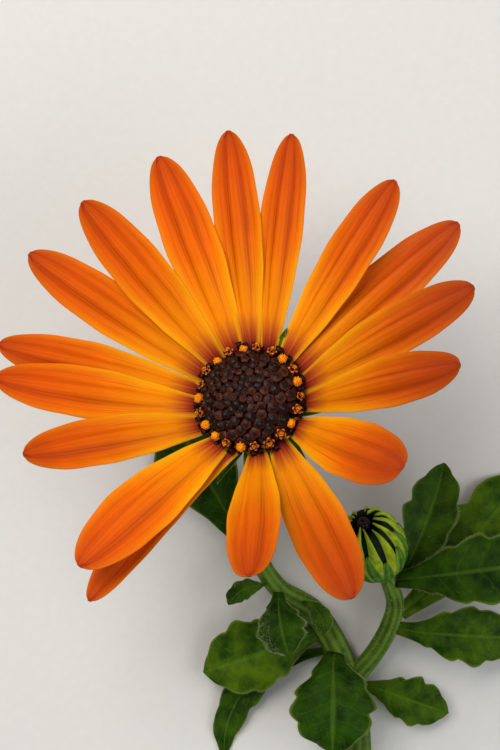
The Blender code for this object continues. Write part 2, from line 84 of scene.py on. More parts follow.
# Ray petals: azimuth, lean, sweep, length, width, lift, arch and layer, as the solids have them.
PETAL_ROOT_RADIUS = 5.5
PETAL_ROOT_LEVEL = -0.9
PETAL_LAYER_STEP = 0.3
PETALS = (
    (357, 2, 0, 26.5, 6.2, 36, 6, 0),
    (17, 3, 0, 26.7, 6.4, 25, 10, 1),
    (36.5, 1, 0, 27.5, 6.6, 14, 12, 0),
    (53.5, -1.5, 0, 26.6, 6.0, 22, 6, 1),
    (73, 7, 0, 27.5, 5.4, 23, 8, 0),
    (93, 0, 0, 27.6, 5.8, 24, 5, 1),
    (111.5, -2, 0, 26.7, 6.6, 26, 8, 0),
    (131.5, -1, 0, 26.6, 6.4, 27, 6, 1),
    (148.5, -1, 0, 27.3, 6.2, 24, 8, 0),
    (167, 4, 0, 26.3, 5.8, 25, 6, 0),
    (184.5, -3.5, -6, 26.2, 6.3, 28, 6, 1),
    (206, -7, 0, 24.4, 6.1, 32, 10, 0),
    (234, -1.5, 0, 26.2, 7.6, 29, 24, 1),
    (253, -30.5, 20, 26.9, 4.8, 17, 12, 0),
    (277, 2, 0, 25.9, 6.4, 41, -4, 0),
    (302.5, -4.5, 0, 26.4, 7.1, 23, 4, 1),
    (329, -1, 0, 26.1, 7.4, 43, 2, 0),
)
SHADED_SIDE = 350.0  # azimuth of the petals painted redder and darker, as shade

# Grids of the blades: rows along and columns across.
PETAL_GRID = (72, 25)
BRACT_GRID = (22, 11)
BUD_BRACT_GRID = (34, 11)
LEAF_GRID = (91, 19)
LOBE_GRID = (6, 5)

# Involucre
CUP_TOP = -1.6
CUP_RADIUS = 5.9
CUP_DEPTH = 4.8
BRACTS = 16
BRACT_ROOT = 4.0  # distance from the axis
BRACT_START = 19.0
BRACT_LENGTH = 6.8
BRACT_WIDTH = 2.3
BRACT_SHOWN = 2  # this one curves up, and its tip shows between two petals
SHOWN_WAY = (12.0, 32.0, 7.8, -32.0, -22.0)  # its turn, pitch, length, sweep and bend

# Bud
BUD_BASE = (8.2, 6.6, 9.2)
BUD_AXIS = (-0.30, 0.66, 0.69)
BUD_LENGTH = 9.8
BUD_RADIUS = 3.7
BUD_BRACTS = 13  # in each of two rows
BUD_RIM = 0.92
BUD_HOLLOW_RADIUS = 1.7
BUD_HOLLOW_DEPTH = 2.6
BUD_PETALS = 7

# Stems: points along each centre line with the radius there.
LYING = 1.45
MAIN_RADIUS = 1.6
STEM_RIBS = 8
STEM_SIDES = 48
MAIN_STEM = (
    (5.0, -28.0, LYING, MAIN_RADIUS),
    (5.4, -17.0, LYING, MAIN_RADIUS),
    (4.2, -8.0, LYING, MAIN_RADIUS),
    (0.0, 0.0, LYING, MAIN_RADIUS),
    (-5.2, 4.0, 2.9, 1.25),
    (-8.0, 9.5, 4.9, 1.15),
    (-7.9, 17.0, 8.0, 1.15),
    (-6.6, 23.2, 12.2, 1.2),
)
STALK_TOP_RADIUS = 1.35
SIDE_SHOOT = (
    (4.3, -8.4, LYING, 1.3),
    (7.2, -5.0, 2.4, 1.25),
    (9.2, -1.2, 4.2, 1.2),
    (9.9, 2.0, 5.6, 1.1),
    (9.1, 4.7, 7.35, 1.05),
)

# Leaves: stem, place along it, heading, pitch, bend, sweep, length, width, fold, curl, wave, and last how far
# the green goes from dark (0) to yellow (1), partly the leaf's own green and partly painted shade on leaves
# that lie in shadow.
HAIRY_LEAF = "leaf_02_curled_left"
LEAF_HAIRS = 90  # over the upper side
PELT_HAIRS = 300
LEAF_TEETH = 13.0 / 3.0  # along each side
TOOTH = 0.26
TOOTH_SIZES = 7  # on each side, as the teeth differ
TOOTH_RISE = 0.667  # shares of a tooth's pitch over which it rises and falls
TOOTH_FALL = 0.333
SIDE_VEINS = 7.0
VEIN_SLANT = 1.1
LEAVES = {
    "leaf_01_broad_left": ("main", 0.35, 196, 18, 35, 4, 14.6, 9.4, 0.10, 0.10, 0.12, 0.55),
    "leaf_02_curled_left": ("main", 0.49, 268, 60, 88, 24, 8.6, 6.0, 0.10, 0.26, 0.05, 0.15),
    "leaf_03_curled_right": ("main", 0.425, 340, 38, 70, -75, 5.2, 2.5, 0.10, 0.20, 0.05, 0.30),
    "leaf_04_small_left": ("main", 0.53, 165, 40, 50, 80, 5.6, 2.6, 0.30, 0.00, 0.05, 0.25),
    "leaf_05_folded_left": ("main", 0.31, 181, -4, 2, 94, 20.5, 4.4, 0.55, 0.00, 0.00, 0.20),
    "leaf_06_under_bloom": ("main", 0.61, 122, -6, 16, -6, 27.0, 9.5, 0.25, 0.10, 0.08, 0.05),
    "leaf_07_wavy_front": ("main", 0.30, 268, 55, 80, 2, 13.6, 10.5, 0.10, 0.15, 0.18, 0.10),
    "leaf_08_broad_right": ("side", 0.84, 8, 22, 50, -2, 19.0, 8.6, 0.20, 0.20, 0.08, 0.12),
    "leaf_09_behind_bud": ("side", 0.80, 62, 15, 35, 14, 15.5, 6.6, 0.40, 0.00, 0.05, 0.25),
    "leaf_10_long_right": ("side", 0.50, 45, -4, 16, 6, 26.0, 8.5, 0.20, 0.10, 0.05, 0.60),
    "leaf_11_low_right": ("side", 0.42, 356, 15, 40, 0, 15.5, 7.2, 0.20, 0.15, 0.08, 0.40),
    "leaf_12_front_tip": ("main", 0.23, 340, 12, 30, 0, 11.0, 6.0, 0.20, 0.10, 0.05, 0.35),
}

# Camera straight above the bloom, and how much it takes in from top to bottom at the bloom's level.
CAMERA_PLACE = (-8.58, 31.06, 324.0)
VIEW_HEIGHT = 90.0
VIEW_DISTANCE = 300.0
SENSOR = 24.0
LIGHT_SIZE = 320.0
FLOOR_REACH = 2.0  # metres from the origin to each side

# Sizes of the patterns in the skins, in millimetres: 1 / 3.4 is 3.4 specks to a millimetre.
PETAL_CLOUD = 1 / 0.33  # slow changes of colour
FLORET_SPECK = 1 / 3.4  # the wax's own grain is finer, and is drawn coarse enough to show
CROWN_SPECK = 1 / 3.0  # as coarse, for the same reason
POLLEN_SPECK = 1 / 4.2  # light and shade among the grains
HAIR_CLOUD = 1 / 0.9  # whole hairs differ, not their parts
LEAF_MOTTLE = 1 / 0.45
LEAF_PORE = 1 / 3.2  # the skin's cells are finer, and are drawn coarse enough to show
BRACT_GRAIN = 1.4
BUD_GRAIN = 1.2
BUD_BODY_GRAIN = 0.8
STEM_GRAIN = 1.8
BOARD_TOOTH = 1 / 0.9  # a roller's stipple
STREAKS = (34.0, 1.6, 1.0)  # to a petal's width and length, so each is about 0.2 mm wide and 16 mm long

# Flesh of the green parts, for the shader.
GREEN_FLESH = {"IOR": 1.42, "Subsurface_Scale": 0.0005, "Subsurface_Radius": (0.5, 1.0, 0.2)}


# ---------------------------------------------------------------- colours and nodes

def linear(code):
    """Linear red, green and blue of an sRGB hex colour."""
    values = [int(code[i:i + 2], 16) / 255.0 for i in (0, 2, 4)]
    return tuple(c / 12.92 if c <= 0.04045 else ((c + 0.055) / 1.055) ** 2.4 for c in values)


def node(tree, kind, links=(), out=0, ramp=(), **settings):
    """Adds a node with its settings, and gives one of its outputs, or all of them for None.

    Links fill its inputs, in order or by name, with values or with other nodes' outputs.
    """
    made = tree.nodes.new("ShaderNode" + kind)
    for key, value in settings.items():
        setattr(made, key, value)
    for socket, value in (links if isinstance(links, dict) else dict(enumerate(links))).items():
        if isinstance(value, bpy.types.NodeSocket):
            tree.links.new(value, made.inputs[socket])
        else:
            made.inputs[socket].default_value = (*value, 1.0) if made.inputs[socket].type == "RGBA" else value
    if ramp:
        elements = made.color_ramp.elements
        while len(elements) < len(ramp):
            elements.new(0.5)
        for element, (place, colour) in zip(elements, ramp):
            element.position = place
            element.color = (*colour, 1.0) if hasattr(colour, "__len__") else (colour, colour, colour, 1.0)
    return made.outputs if out is None else made.outputs[out]


def new_material(name, **sockets):
    """A material whose uniform numbers stand on its shader's own sockets, and what adds nodes to it."""
    made = bpy.data.materials.new(name)
    made.use_nodes = True
    for socket, value in sockets.items():
        made.node_tree.nodes["Principled BSDF"].inputs[socket.replace("_", " ")].default_value = value
    return made, partial(node, made.node_tree)


def per(size):
    """The scale of a noise whose patches are this many millimetres across."""
    return 1.0 / (size * MM)


def finish(made, colour, value=None, height=None, strength=0.0, depth=0.0):
    """The material with its colour, made lighter or darker by a value, and a relief of this depth in mm."""
    tree = made.node_tree
    shader = tree.nodes["Principled BSDF"].inputs
    if value is not None:
        colour = node(tree, "HueSaturation", {"Color": colour, "Value": value})
    tree.links.new(colour, shader["Base Color"])
    if height is not None:
        bump = node(tree, "Bump", {"Height": height, "Strength": strength, "Distance": depth * MM})
        tree.links.new(bump, shader["Normal"])
    return made


# ---------------------------------------------------------------- surfaces

def unit(values):
    """The same directions, of length one."""
    return values / np.linalg.norm(values, axis=-1, keepdims=True)


def circle(turn, radius=1.0, level=0.0):
    """Points at these turns about Z, in radians, at a radius and a level."""
    return np.stack(np.broadcast_arrays(radius * np.cos(turn), radius * np.sin(turn), level), axis=-1)


def spun(points, turn):
    """Points turned about Z, each by its own angle in radians."""
    x, y, z = np.moveaxis(points, -1, 0)
    return np.stack([x * np.cos(turn) - y * np.sin(turn), x * np.sin(turn) + y * np.cos(turn), z], axis=-1)


def strip_faces(rows, around, closed):
    """Quads of a grid of rows by columns, whose columns meet again where it is closed."""
    index = np.arange(rows * around).reshape(rows, around)
    if closed:
        index = np.concatenate([index, index[:, :1]], axis=1)
    return np.stack([index[:-1, :-1], index[:-1, 1:], index[1:, 1:], index[1:, :-1]], axis=-1).reshape(-1, 4)


def sheet(middle, across, up, reach, height, thickness, s, v, **data):
    """A thin closed blade.

    Its upper side is the middle line, plus across times reach, plus up times the height and half the
    thickness; its under side is as far below. Strips close both margins and both ends. The data are values
    for the upper side, which the under side has as well.
    """
    flat = middle + across * reach[..., None] + up * height[..., None]
    wall = up * 0.5 * thickness[..., None]
    points = np.concatenate([flat + wall, (flat - wall)[:, ::-1]], axis=1)
    rows, around = points.shape[:2]
    half = around // 2
    index = np.arange(rows * around).reshape(rows, around)
    faces = [strip_faces(rows, around, True)]
    for row, step in ((0, -1), (rows - 1, 1)):
        over, under = index[row, :half][::step], index[row, ::-1][:half][::step]
        faces.append(np.stack([over[:-1], over[1:], under[1:], under[:-1]], axis=-1))
    data = {"across": 0.5 * (v + 1.0), "along": s, **data}
    data = {key: np.broadcast_to(value, (rows, half)) for key, value in data.items()}
    data = {key: np.concatenate([value, value[:, ::-1]], axis=1).ravel() for key, value in data.items()}
    uv = np.stack([data.pop("across"), data["along"]], axis=-1)
    data["under"] = np.tile(np.repeat([0.0, 1.0], half), rows)
    return {"points": points.reshape(-1, 3), "faces": [np.concatenate(faces)], "uv": uv, "data": data}


def round_shell(rings, first, last, **data):
    """Closed tube: rings of points joined in order, with a pole of triangles at either end."""
    rows, around = rings.shape[:2]
    count = rows * around
    near, far = np.arange(around), np.arange(count - around, count)
    poles = [
        np.stack([np.full(around, count), np.roll(near, -1), near], axis=-1),
        np.stack([np.full(around, count + 1), far, np.roll(far, -1)], axis=-1),
    ]
    points = np.concatenate([rings.reshape(-1, 3), np.atleast_2d(first), np.atleast_2d(last)])
    along = np.concatenate([np.repeat(np.arange(1, rows + 1) / (rows + 1), around), [0.0, 1.0]])
    made = {"along": along, **{key: np.broadcast_to(value, len(points)) for key, value in data.items()}}
    return {"points": points, "faces": [strip_faces(rows, around, True), np.concatenate(poles)], "data": made}


def lathe(profile, sides, lobes=0, lobe_depth=0.0, fade=1.0, **data):
    """Solid of revolution about Z: each profile point (radius, height) goes round, in and out by the lobes.

    The share along the profile, which colours follow, is multiplied by the fade.
    """
    profile = np.array(profile, float)
    turn = np.linspace(0.0, TAU, sides, endpoint=False)
    radius = profile[1:-1, :1] * (1.0 + lobe_depth * np.cos(lobes * turn))
    ends = (0.0, 0.0, profile[0, 1]), (0.0, 0.0, profile[-1, 1])
    made = round_shell(circle(turn, radius, profile[1:-1, 1:]), *ends, **data)
    made["data"]["along"] = fade * made["data"]["along"]
    return made


def axes_from(outward, reference=(1.0, 0.0, 0.0)):
    """For each outward direction, a 3 by 3 array: its columns are two directions square to it, and itself."""
    outward = unit(outward)
    side = unit(np.array(reference) - outward * (outward @ np.array(reference))[..., None])
    return np.stack([side, np.cross(outward, side), outward], axis=-1)


def twisted(axes, turn):
    """The axes, each set turned about its own outward direction by its own angle."""
    cosine, sine = np.cos(turn)[:, None], np.sin(turn)[:, None]
    first, second, outward = np.moveaxis(axes, -1, 0)
    return np.stack([first * cosine + second * sine, second * cosine - first * sine, outward], axis=-1)


def repeated(shape, places, axes, wide, tall=None, **data):
    """The same small shape at each place, scaled to its width and height and turned to the place's axes."""
    number, count = len(places), len(shape["points"])
    sizes = np.stack(np.broadcast_arrays(wide, wide, wide if tall is None else tall), axis=-1)
    sizes = np.broadcast_to(sizes, (number, 3))
    points = np.einsum("nij,nkj->nki", axes, shape["points"][None] * sizes[:, None, :]) + places[:, None, :]
    shift = count * np.arange(number)[:, None, None]
    made = {key: np.tile(value, number) for key, value in shape["data"].items()}
    made.update({key: np.repeat(np.broadcast_to(value, number), count) for key, value in data.items()})
    faces = [(part[None] + shift).reshape(-1, part.shape[1]) for part in shape["faces"]]
    return {"points": points.reshape(-1, 3), "faces": faces, "data": made}


def of(material, *patches):
    """The patches, given the material with this number."""
    return [{**patch, "material": material} for patch in patches]


def facing_out(patch):
    """The patch's faces, turned round if its volume comes out negative."""
    points = patch["points"] - patch["points"].mean(axis=0)
    volume = 0.0
    for part in patch["faces"]:
        for k in range(1, part.shape[1] - 1):
            a, b, c = points[part[:, 0]], points[part[:, k]], points[part[:, k + 1]]
            volume += np.einsum("ij,ij->", a, np.cross(b, c))
    return [part if volume > 0.0 else part[:, ::-1] for part in patch["faces"]]


def piece(stands_for, patches, materials, place=None):
    """One object from patches in millimetres, which stands for a node of the solids.

    A 4 by 4 array carries the patches to their place, and the mesh is filled from whole arrays.
    """
    name = stands_for + "_fine"
    if place is not None:
        patches = [{**patch, "points": patch["points"] @ place[:3, :3].T + place[:3, 3]} for patch in patches]
    start, corners, sizes, slots = 0, [], [], []
    for patch in patches:
        for part in facing_out(patch):
            corners.append((part + start).ravel())
            sizes.append(np.full(len(part), part.shape[1]))
            slots.append(np.full(len(part), patch.get("material", 0)))
        start += len(patch["points"])
    corners, sizes, slots = (np.concatenate(group).astype(np.int32) for group in (corners, sizes, slots))
    points = np.concatenate([patch["points"] for patch in patches]) * MM
    points[:, 2] = np.maximum(points[:, 2], 0.0)
    mesh = bpy.data.meshes.new(name)
    mesh.vertices.add(start)
    mesh.loops.add(len(corners))
    mesh.polygons.add(len(sizes))
    mesh.vertices.foreach_set("co", points.ravel())
    mesh.loops.foreach_set("vertex_index", corners)
    mesh.polygons.foreach_set("loop_start", np.concatenate([[0], np.cumsum(sizes)[:-1]]).astype(np.int32))
    mesh.polygons.foreach_set("material_index", slots)
    mesh.polygons.foreach_set("use_smooth", np.ones(len(sizes), bool))
    for key in sorted({key for patch in patches for key in patch["data"]}):
        values = [patch["data"].get(key, np.zeros(len(patch["points"]))) for patch in patches]
        mesh.attributes.new(key, "FLOAT", "POINT").data.foreach_set("value", np.concatenate(values))
    uv = np.concatenate([patch.get("uv", np.zeros((len(patch["points"]), 2))) for patch in patches])
    mesh.uv_layers.new(name="UVMap").data.foreach_set("uv", uv[corners].ravel())
    mesh.update(calc_edges=True)
    if mesh.validate():
        raise RuntimeError(f"{name} has faces that aren't valid")
    for material in materials:
        mesh.materials.append(material)
    made = bpy.data.objects.new(name, mesh)
    bpy.context.scene.collection.objects.link(made)
    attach(made, "root")
    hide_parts(stands_for)


def spine(start, heading, pitch, length, sweep, bend, at):
    """Points, and directions along, across and up, on a line at these shares of its length.

    The line's heading turns by sweep and its pitch falls by bend, both evenly from start to end.
    """
    share = np.linspace(0.0, 1.0, 97)
    turn, rise = np.radians(heading + sweep * share), np.radians(pitch - bend * share)
    tangents = np.stack([np.cos(rise) * np.cos(turn), np.cos(rise) * np.sin(turn), np.sin(rise)], axis=1)
    steps = 0.5 * (tangents[1:] + tangents[:-1]) * length / 96
    points = np.concatenate([[np.zeros(3)], np.cumsum(steps, axis=0)]) + np.array(start)
    middle = np.stack([np.interp(at, share, points[:, k]) for k in range(3)], axis=-1)
    along = unit(np.stack([np.interp(at, share, tangents[:, k]) for k in range(3)], axis=-1))
    across = unit(np.cross(along, (0.0, 0.0, 1.0)))
    return middle, along, across, np.cross(across, along)


def across_grid(rows, columns, power=1.0):
    """Shares along, denser towards the tip, and places from -1 to 1 across, denser at the margins."""
    s = 1.0 - (1.0 - np.linspace(0.0, 1.0, rows)) ** power
    v = np.sin(0.5 * np.pi * np.linspace(-1.0, 1.0, columns))
    return np.broadcast_to(s[:, None], (rows, columns)), np.broadcast_to(v[None, :], (rows, columns))


def smooth_path(points, steps):
    """Catmull-Rom curve through rows of numbers, with this many steps between neighbours."""
    rows = np.array(points, float)
    rows = np.vstack([2 * rows[0] - rows[1], rows, 2 * rows[-1] - rows[-2]])
    before, start, end, after = (rows[i:len(rows) - 3 + i, None] for i in range(4))
    t = (np.arange(steps) / steps)[None, :, None]
    curve = (
        start + 0.5 * t * (end - before) + t * t * (before - 2.5 * start + 2 * end - 0.5 * after)
        + t * t * t * (1.5 * (start - end) + 0.5 * (after - before))
    )
    return np.vstack([curve.reshape(-1, rows.shape[1]), rows[-2]])


def hairs(roots, outward, look, rng, length=1.0, thickness=1.0, stray=0.35):
    """Short hairs: three-sided spikes that stand on their roots, each strayed a little from outward."""
    outward = unit(outward + rng.normal(0.0, stray, outward.shape))
    spike = round_shell(circle(np.radians([0.0, 120.0, 240.0]))[None], (0.0, 0.0, -0.2), (0.0, 0.0, 1.0))
    tall = length * look.hair * rng.uniform(0.6, 1.2, len(roots))
    axes = axes_from(outward, (0.31, 0.95, 0.05))
    return repeated(spike, roots, axes, thickness * look.hair_thickness, tall)


# ---------------------------------------------------------------- frames and lines of the plant

def bloom_frame():
    """The bloom's frame as a 4 by 4 array: tilted about the level line square to the heading it faces."""
    heading = math.radians(BLOOM_FACES)
    level = Vector((-math.sin(heading), math.cos(heading), 0.0))
    return np.array(Matrix.Translation(BLOOM_CENTRE) @ Matrix.Rotation(math.radians(BLOOM_TILT), 4, level))


def bud_frame():
    """The bud's frame as a 4 by 4 array, with +Z along its axis."""
    turn = Vector(BUD_AXIS).normalized().to_track_quat("Z", "Y").to_matrix().to_4x4()
    return np.array(Matrix.Translation(BUD_BASE) @ turn)


def stem_rows(steps):
    """Centre line and radius of both stems; each ends just inside the cup or bud that it carries."""
    facing = bloom_frame()[:3, 2]
    joint = np.array(BLOOM_CENTRE) + facing * (CUP_TOP - CUP_DEPTH - 0.3)
    meet = np.array(BUD_BASE) - np.array(Vector(BUD_AXIS).normalized()) * 0.3
    return {
        "main": smooth_path([*MAIN_STEM, (*joint, STALK_TOP_RADIUS)], steps),
        "side": smooth_path([*SIDE_SHOOT, (*meet, 1.05)], steps),
    }


# ---------------------------------------------------------------- petals

def petal(spec, number, look, rng):
    """One ray petal.

    Its half width opens as a sine to three fifths of the length and closes as a rounded power to a blunt tip.
    Its height is a low middle rib between two grooves, a fall at the margins, five fine ribs and a slow
    ripple of the margin. The tip is drawn back in two small notches, which leave three teeth.
    """
    azimuth, lean, sweep, length, width, lift, arch, layer = spec
    s, v = across_grid(*PETAL_GRID, 1.3)
    level = PETAL_ROOT_LEVEL + PETAL_LAYER_STEP * (layer - 0.5)
    start = circle(math.radians(azimuth), PETAL_ROOT_RADIUS, level)
    opening = 0.32 + 0.68 * np.sin(0.5 * np.pi * np.minimum(s / 0.60, 1.0)) ** 1.15
    closing = (1.0 - np.clip((s - 0.5) / 0.5, 0.0, 1.0) ** 3.0) ** 0.54
    share = np.maximum(opening * closing, 0.09)
    half = 0.5 * width * share
    notch = look.notch / length * np.exp(-(((np.abs(v) * share - 0.17) / 0.07) ** 2))
    drawn = s - notch * np.clip((s - 0.90) / 0.10, 0.0, 1.0) ** 2
    middle, _, wide, up = spine(start, azimuth + lean, lift + 0.5 * arch, length, sweep, arch, drawn)
    swell = np.sin(np.pi * s)
    phase = rng.uniform(0.0, TAU, 3)
    height = (
        half * (0.15 * np.cos(TAU * v) * swell - 0.20 * v * v)
        + half * look.rib * np.cos(10.0 * np.pi * v + phase[0]) * swell
        + 0.05 * half * v * v * np.sin(TAU * (1.5 * s) + phase[1] + 1.2 * v)
    )
    edge = 1.0 + 0.012 * np.sin(TAU * 4.3 * s + phase[2]) * np.sign(v)
    thick = (0.14 + (look.thickness - 0.14) * (1.0 - np.abs(v) ** 2.5)) * (1.0 - 0.35 * s)
    # Painted shade: the petals on the side of the bloom away from the light get this weight.
    dull = max(math.cos(math.radians(azimuth - SHADED_SIDE)), 0.0)
    return sheet(middle, wide, up, half * v * edge, height, thick, s, v,
                 tone=rng.uniform(0.0, 1.0), dull=dull, seed=number / len(PETALS))


def petal_material(look):
    """Ray petal, grown, satin: thin flesh over air, so light glows through it and its skin has a soft shine.

    The colour goes along the petal from a purple blotch over gold to red orange, with darker veins that run
    with its length in the grooves, fine streaks of about 0.2 mm, and a golden margin near the foot.
    """
    made, add = new_material(
        "ray_petal_grown_satin", Roughness=0.5, IOR=1.38, Specular_IOR_Level=0.12, Subsurface_Weight=0.12,
        Subsurface_Scale=0.0006, Subsurface_Radius=(1.0, 0.35, 0.06),
    )
    names = ("seed", "dull", "tone", "under")
    seed, dull, tone, under = (add("Attribute", out="Fac", attribute_name=name) for name in names)
    place = add("TexCoord", out="Object")
    uv = add("UVMap", uv_map="UVMap")
    across, along = add("SeparateXYZ", (uv,), None)[:2]
    cloud = add("TexNoise", {"Vector": place, "Scale": per(PETAL_CLOUD), "Detail": 3.0})
    # Fine streaks along the petal.
    stretched = add("Mapping", {"Vector": uv, "Scale": STREAKS})
    streak = add("TexNoise", {"Vector": add("VectorMath", (stretched, place), operation="ADD"), "Scale": 1.0})
    # The colour's edges along the petal wander with the streaks.
    reach = add("Math", (along, add("MapRange", (streak, 0.3, 0.7, -0.035, 0.035))), operation="ADD")
    colour = add("ValToRGB", (reach,), ramp=(
        (0.00, look.blotch), (0.040, look.blotch), (0.095, look.flush), (0.200, look.gold), (0.30, look.gold),
        (0.54, look.orange), (0.80, look.deep), (0.985, look.tip), (1.00, look.vein)))
    # Veins, the strongest at a third of each half; each petal has them a little further to one side.
    sways = [add("MapRange", (value, 0.0, 1.0, -low, low)) for value, low in ((cloud, 0.03), (seed, 0.035))]
    swayed = add("Math", (across, add("Math", sways, operation="ADD")), operation="ADD")
    vein = add("ValToRGB", (swayed,), ramp=(
        (0.13, 0.0), (0.18, 0.35), (0.22, 0.05), (0.27, 0.30), (0.34, 1.0), (0.41, 0.30), (0.45, 0.0),
        (0.50, 0.30), (0.54, 0.0), (0.59, 0.25), (0.66, 1.0), (0.73, 0.25), (0.78, 0.05), (0.83, 0.40),
        (0.88, 0.0)))
    spread = add("ValToRGB", (along,), ramp=(
        (0.06, 0.25), (0.25, 0.45), (0.60, 1.0), (0.93, 0.65), (1.0, 0.3)))
    # Golden margin, the strongest towards the foot.
    edge = add("ValToRGB", (across,), ramp=(
        (0.0, 1.0), (0.08, 0.65), (0.20, 0.0), (0.80, 0.0), (0.92, 0.65), (1.0, 1.0)))
    vein, spread, edge = (add("SeparateColor", (grey,)) for grey in (vein, spread, edge))
    foot = add("MapRange", (along, 0.10, 0.75, 0.9, 0.18), interpolation_type="SMOOTHSTEP")
    outer = add("MapRange", (along, 0.40, 0.95, 0.0, 0.55), interpolation_type="SMOOTHSTEP")
    drawn = add("Math", (vein, spread), operation="MULTIPLY")
    broken = add("MapRange", (streak, 0.30, 0.62, 0.35, 1.0))
    drawn = add("Math", (drawn, broken), operation="MULTIPLY")
    # Petals on one side have fainter veins; on the other, painted shade turns their tips darker and redder.
    fainter = add("MapRange", (seed, 0.30, 0.42, 0.78, 0.46))
    layers = (
        (add("Math", (drawn, fainter), operation="MULTIPLY"), look.vein),
        (add("MapRange", (streak, 0.50, 0.72, 0.0, 0.30)), look.vein),
        (add("Math", (edge, foot), operation="MULTIPLY"), look.margin),
        (add("Math", (outer, dull), operation="MULTIPLY"), look.shade),
        (add("Math", (under, 0.5), operation="MULTIPLY"), look.back),
    )
    for share, laid in layers:
        colour = add("Mix", {0: share, 6: colour, 7: laid}, 2, data_type="RGBA")
    light = add("MapRange", (tone, 0.0, 1.0, 0.90, 1.08))
    # Painted shade: those petals are also a tenth darker all over.
    light = add("Math", (dull, -0.10, light), operation="MULTIPLY_ADD")
    value = add("Math", (light, add("MapRange", (cloud, 0.0, 1.0, 0.90, 1.10))), operation="MULTIPLY")
    grooves = add("Math", (drawn, -0.8), operation="MULTIPLY")
    relief = add("Math", (streak, 0.7, grooves), operation="MULTIPLY_ADD")
    return finish(made, colour, value, relief, 0.55, 0.12)


def ray_petals(look):
    """All the petals and the ring of claws that they grow from, a small closed profile carried round."""
    rng = np.random.default_rng(SEEDS["petals"])
    patches = [petal(spec, number, look, rng) for number, spec in enumerate(PETALS)]
    turn = np.linspace(0.0, TAU, 68, endpoint=False)[:, None]
    section = np.array([(4.6, -0.5), (5.6, -0.35), (6.2, -0.7), (6.2, -1.3), (5.4, -1.75), (4.6, -1.75)])
    rings = circle(turn, section[:, 0], section[:, 1])
    rows, around = rings.shape[:2]
    wrapped = strip_faces(rows + 1, around, True) % (rows * around)
    claws = {"points": rings.reshape(-1, 3), "faces": [wrapped], "data": {"along": np.zeros(rows * around)}}
    piece("ray_petals", [*patches, claws], [petal_material(look)], bloom_frame())


# ---------------------------------------------------------------- disc

def dome_places(radius, turn):
    """Points of the dome at these radii and turns, and the directions in which florets stand there."""
    level = DOME_HEIGHT * np.sqrt(1.0 - np.minimum(radius / DOME_RADIUS, 1.0) ** 2)
    slope = unit(np.stack([radius / DOME_RADIUS**2, 0.0 * radius, level / DOME_HEIGHT**2], axis=-1))
    return circle(turn, radius, level), spun(unit(slope + 0.6 * UPRIGHT), turn)


def floret_radii():
    """Distances of the florets from the axis: each has a cell as large as its pitch asks on the slope."""
    radius = np.linspace(0.0, DOME_RADIUS * 0.985, 400)
    pitch = FLORET_PITCH_INNER + (FLORET_PITCH_OUTER - FLORET_PITCH_INNER) * radius / DOME_RADIUS
    slope = DOME_HEIGHT / DOME_RADIUS * (radius / DOME_RADIUS) / np.sqrt(1.0 - (radius / DOME_RADIUS) ** 2)
    density = TAU * radius * np.sqrt(1.0 + slope**2) / (0.87 * pitch**2)
    count = np.concatenate([[0.0], np.cumsum(0.5 * (density[1:] + density[:-1]) * radius[1])])
    at = np.interp(np.arange(int(count[-1])) + 0.5, count, radius)
    return at, np.interp(at, radius, pitch)


def bud_shape():
    """A closed floret: a five-lobed dome on a short waist, with a small point where its lobes meet."""
    profile = [(0, -0.4), (0.85, -0.35), (1.0, 0.2), (0.96, 0.62), (0.70, 0.92), (0.24, 0.97), (0, 1.14)]
    return lathe(profile, 2 * LOBES, LOBES, 0.09)


def tube_shape():
    """An open floret's tube, which widens to its mouth; the mouth is a shallow cup."""
    return lathe([(0, -0.3), (0.80, -0.3), (0.82, 0.4), (1.0, 0.8), (1.18, 1.0), (0.95, 0.97), (0.5, 0.80),
                  (0, 0.74)], 2 * LOBES)


def crown_shape():
    """Five lobes round an open floret's mouth. Each goes out as it rises, then falls, and tapers to a tip."""
    s, v = across_grid(*LOBE_GRID)
    middle = np.stack([0.36 + 0.40 * s, 0.0 * s, 0.20 * np.sin(np.pi * 0.8 * s)], axis=-1)
    reach = 0.25 * np.sin(np.pi * (0.28 + 0.64 * s)) * v
    lobe = sheet(middle, SIDEWAYS, UPRIGHT, reach, -0.05 * v * v, 0.09 + 0.0 * s, s, v)
    points = [spun(lobe["points"], TAU * number / LOBES) for number in range(LOBES)]
    faces = [lobe["faces"][0] + len(points[0]) * number for number in range(LOBES)]
    return {"points": np.concatenate(points), "faces": [np.concatenate(faces)],
            "data": {"along": np.tile(lobe["data"]["along"], LOBES)}}


def grains(centres, radius, number, size, rng):
    """Pollen grains: small ten-sided shapes, spread by the golden angle over balls with lumpy surfaces."""
    level = 1.0 - 2.0 * (np.arange(number) + 0.5) / number
    skin = circle(np.radians(GOLDEN_ANGLE) * np.arange(number), np.sqrt(1.0 - level**2), level)
    waves = 4.0 * skin @ rng.normal(0.0, 1.0, (3, len(centres)))
    lumps = 1.0 + 0.14 * np.sin(waves + 3.0 * rng.uniform(size=len(centres)))
    places = (centres[:, None, :] + radius * lumps.T[..., None] * skin[None]).reshape(-1, 3)
    grain = lathe([(0, -1.0), (1.0, 0.0), (0, 1.0)], 5)
    wide = size * rng.uniform(0.7, 1.5, len(places))
    axes = axes_from(np.tile(skin, (len(centres), 1)), (0.43, 0.21, 0.88))
    return repeated(grain, places, axes, wide, 0.9 * wide)


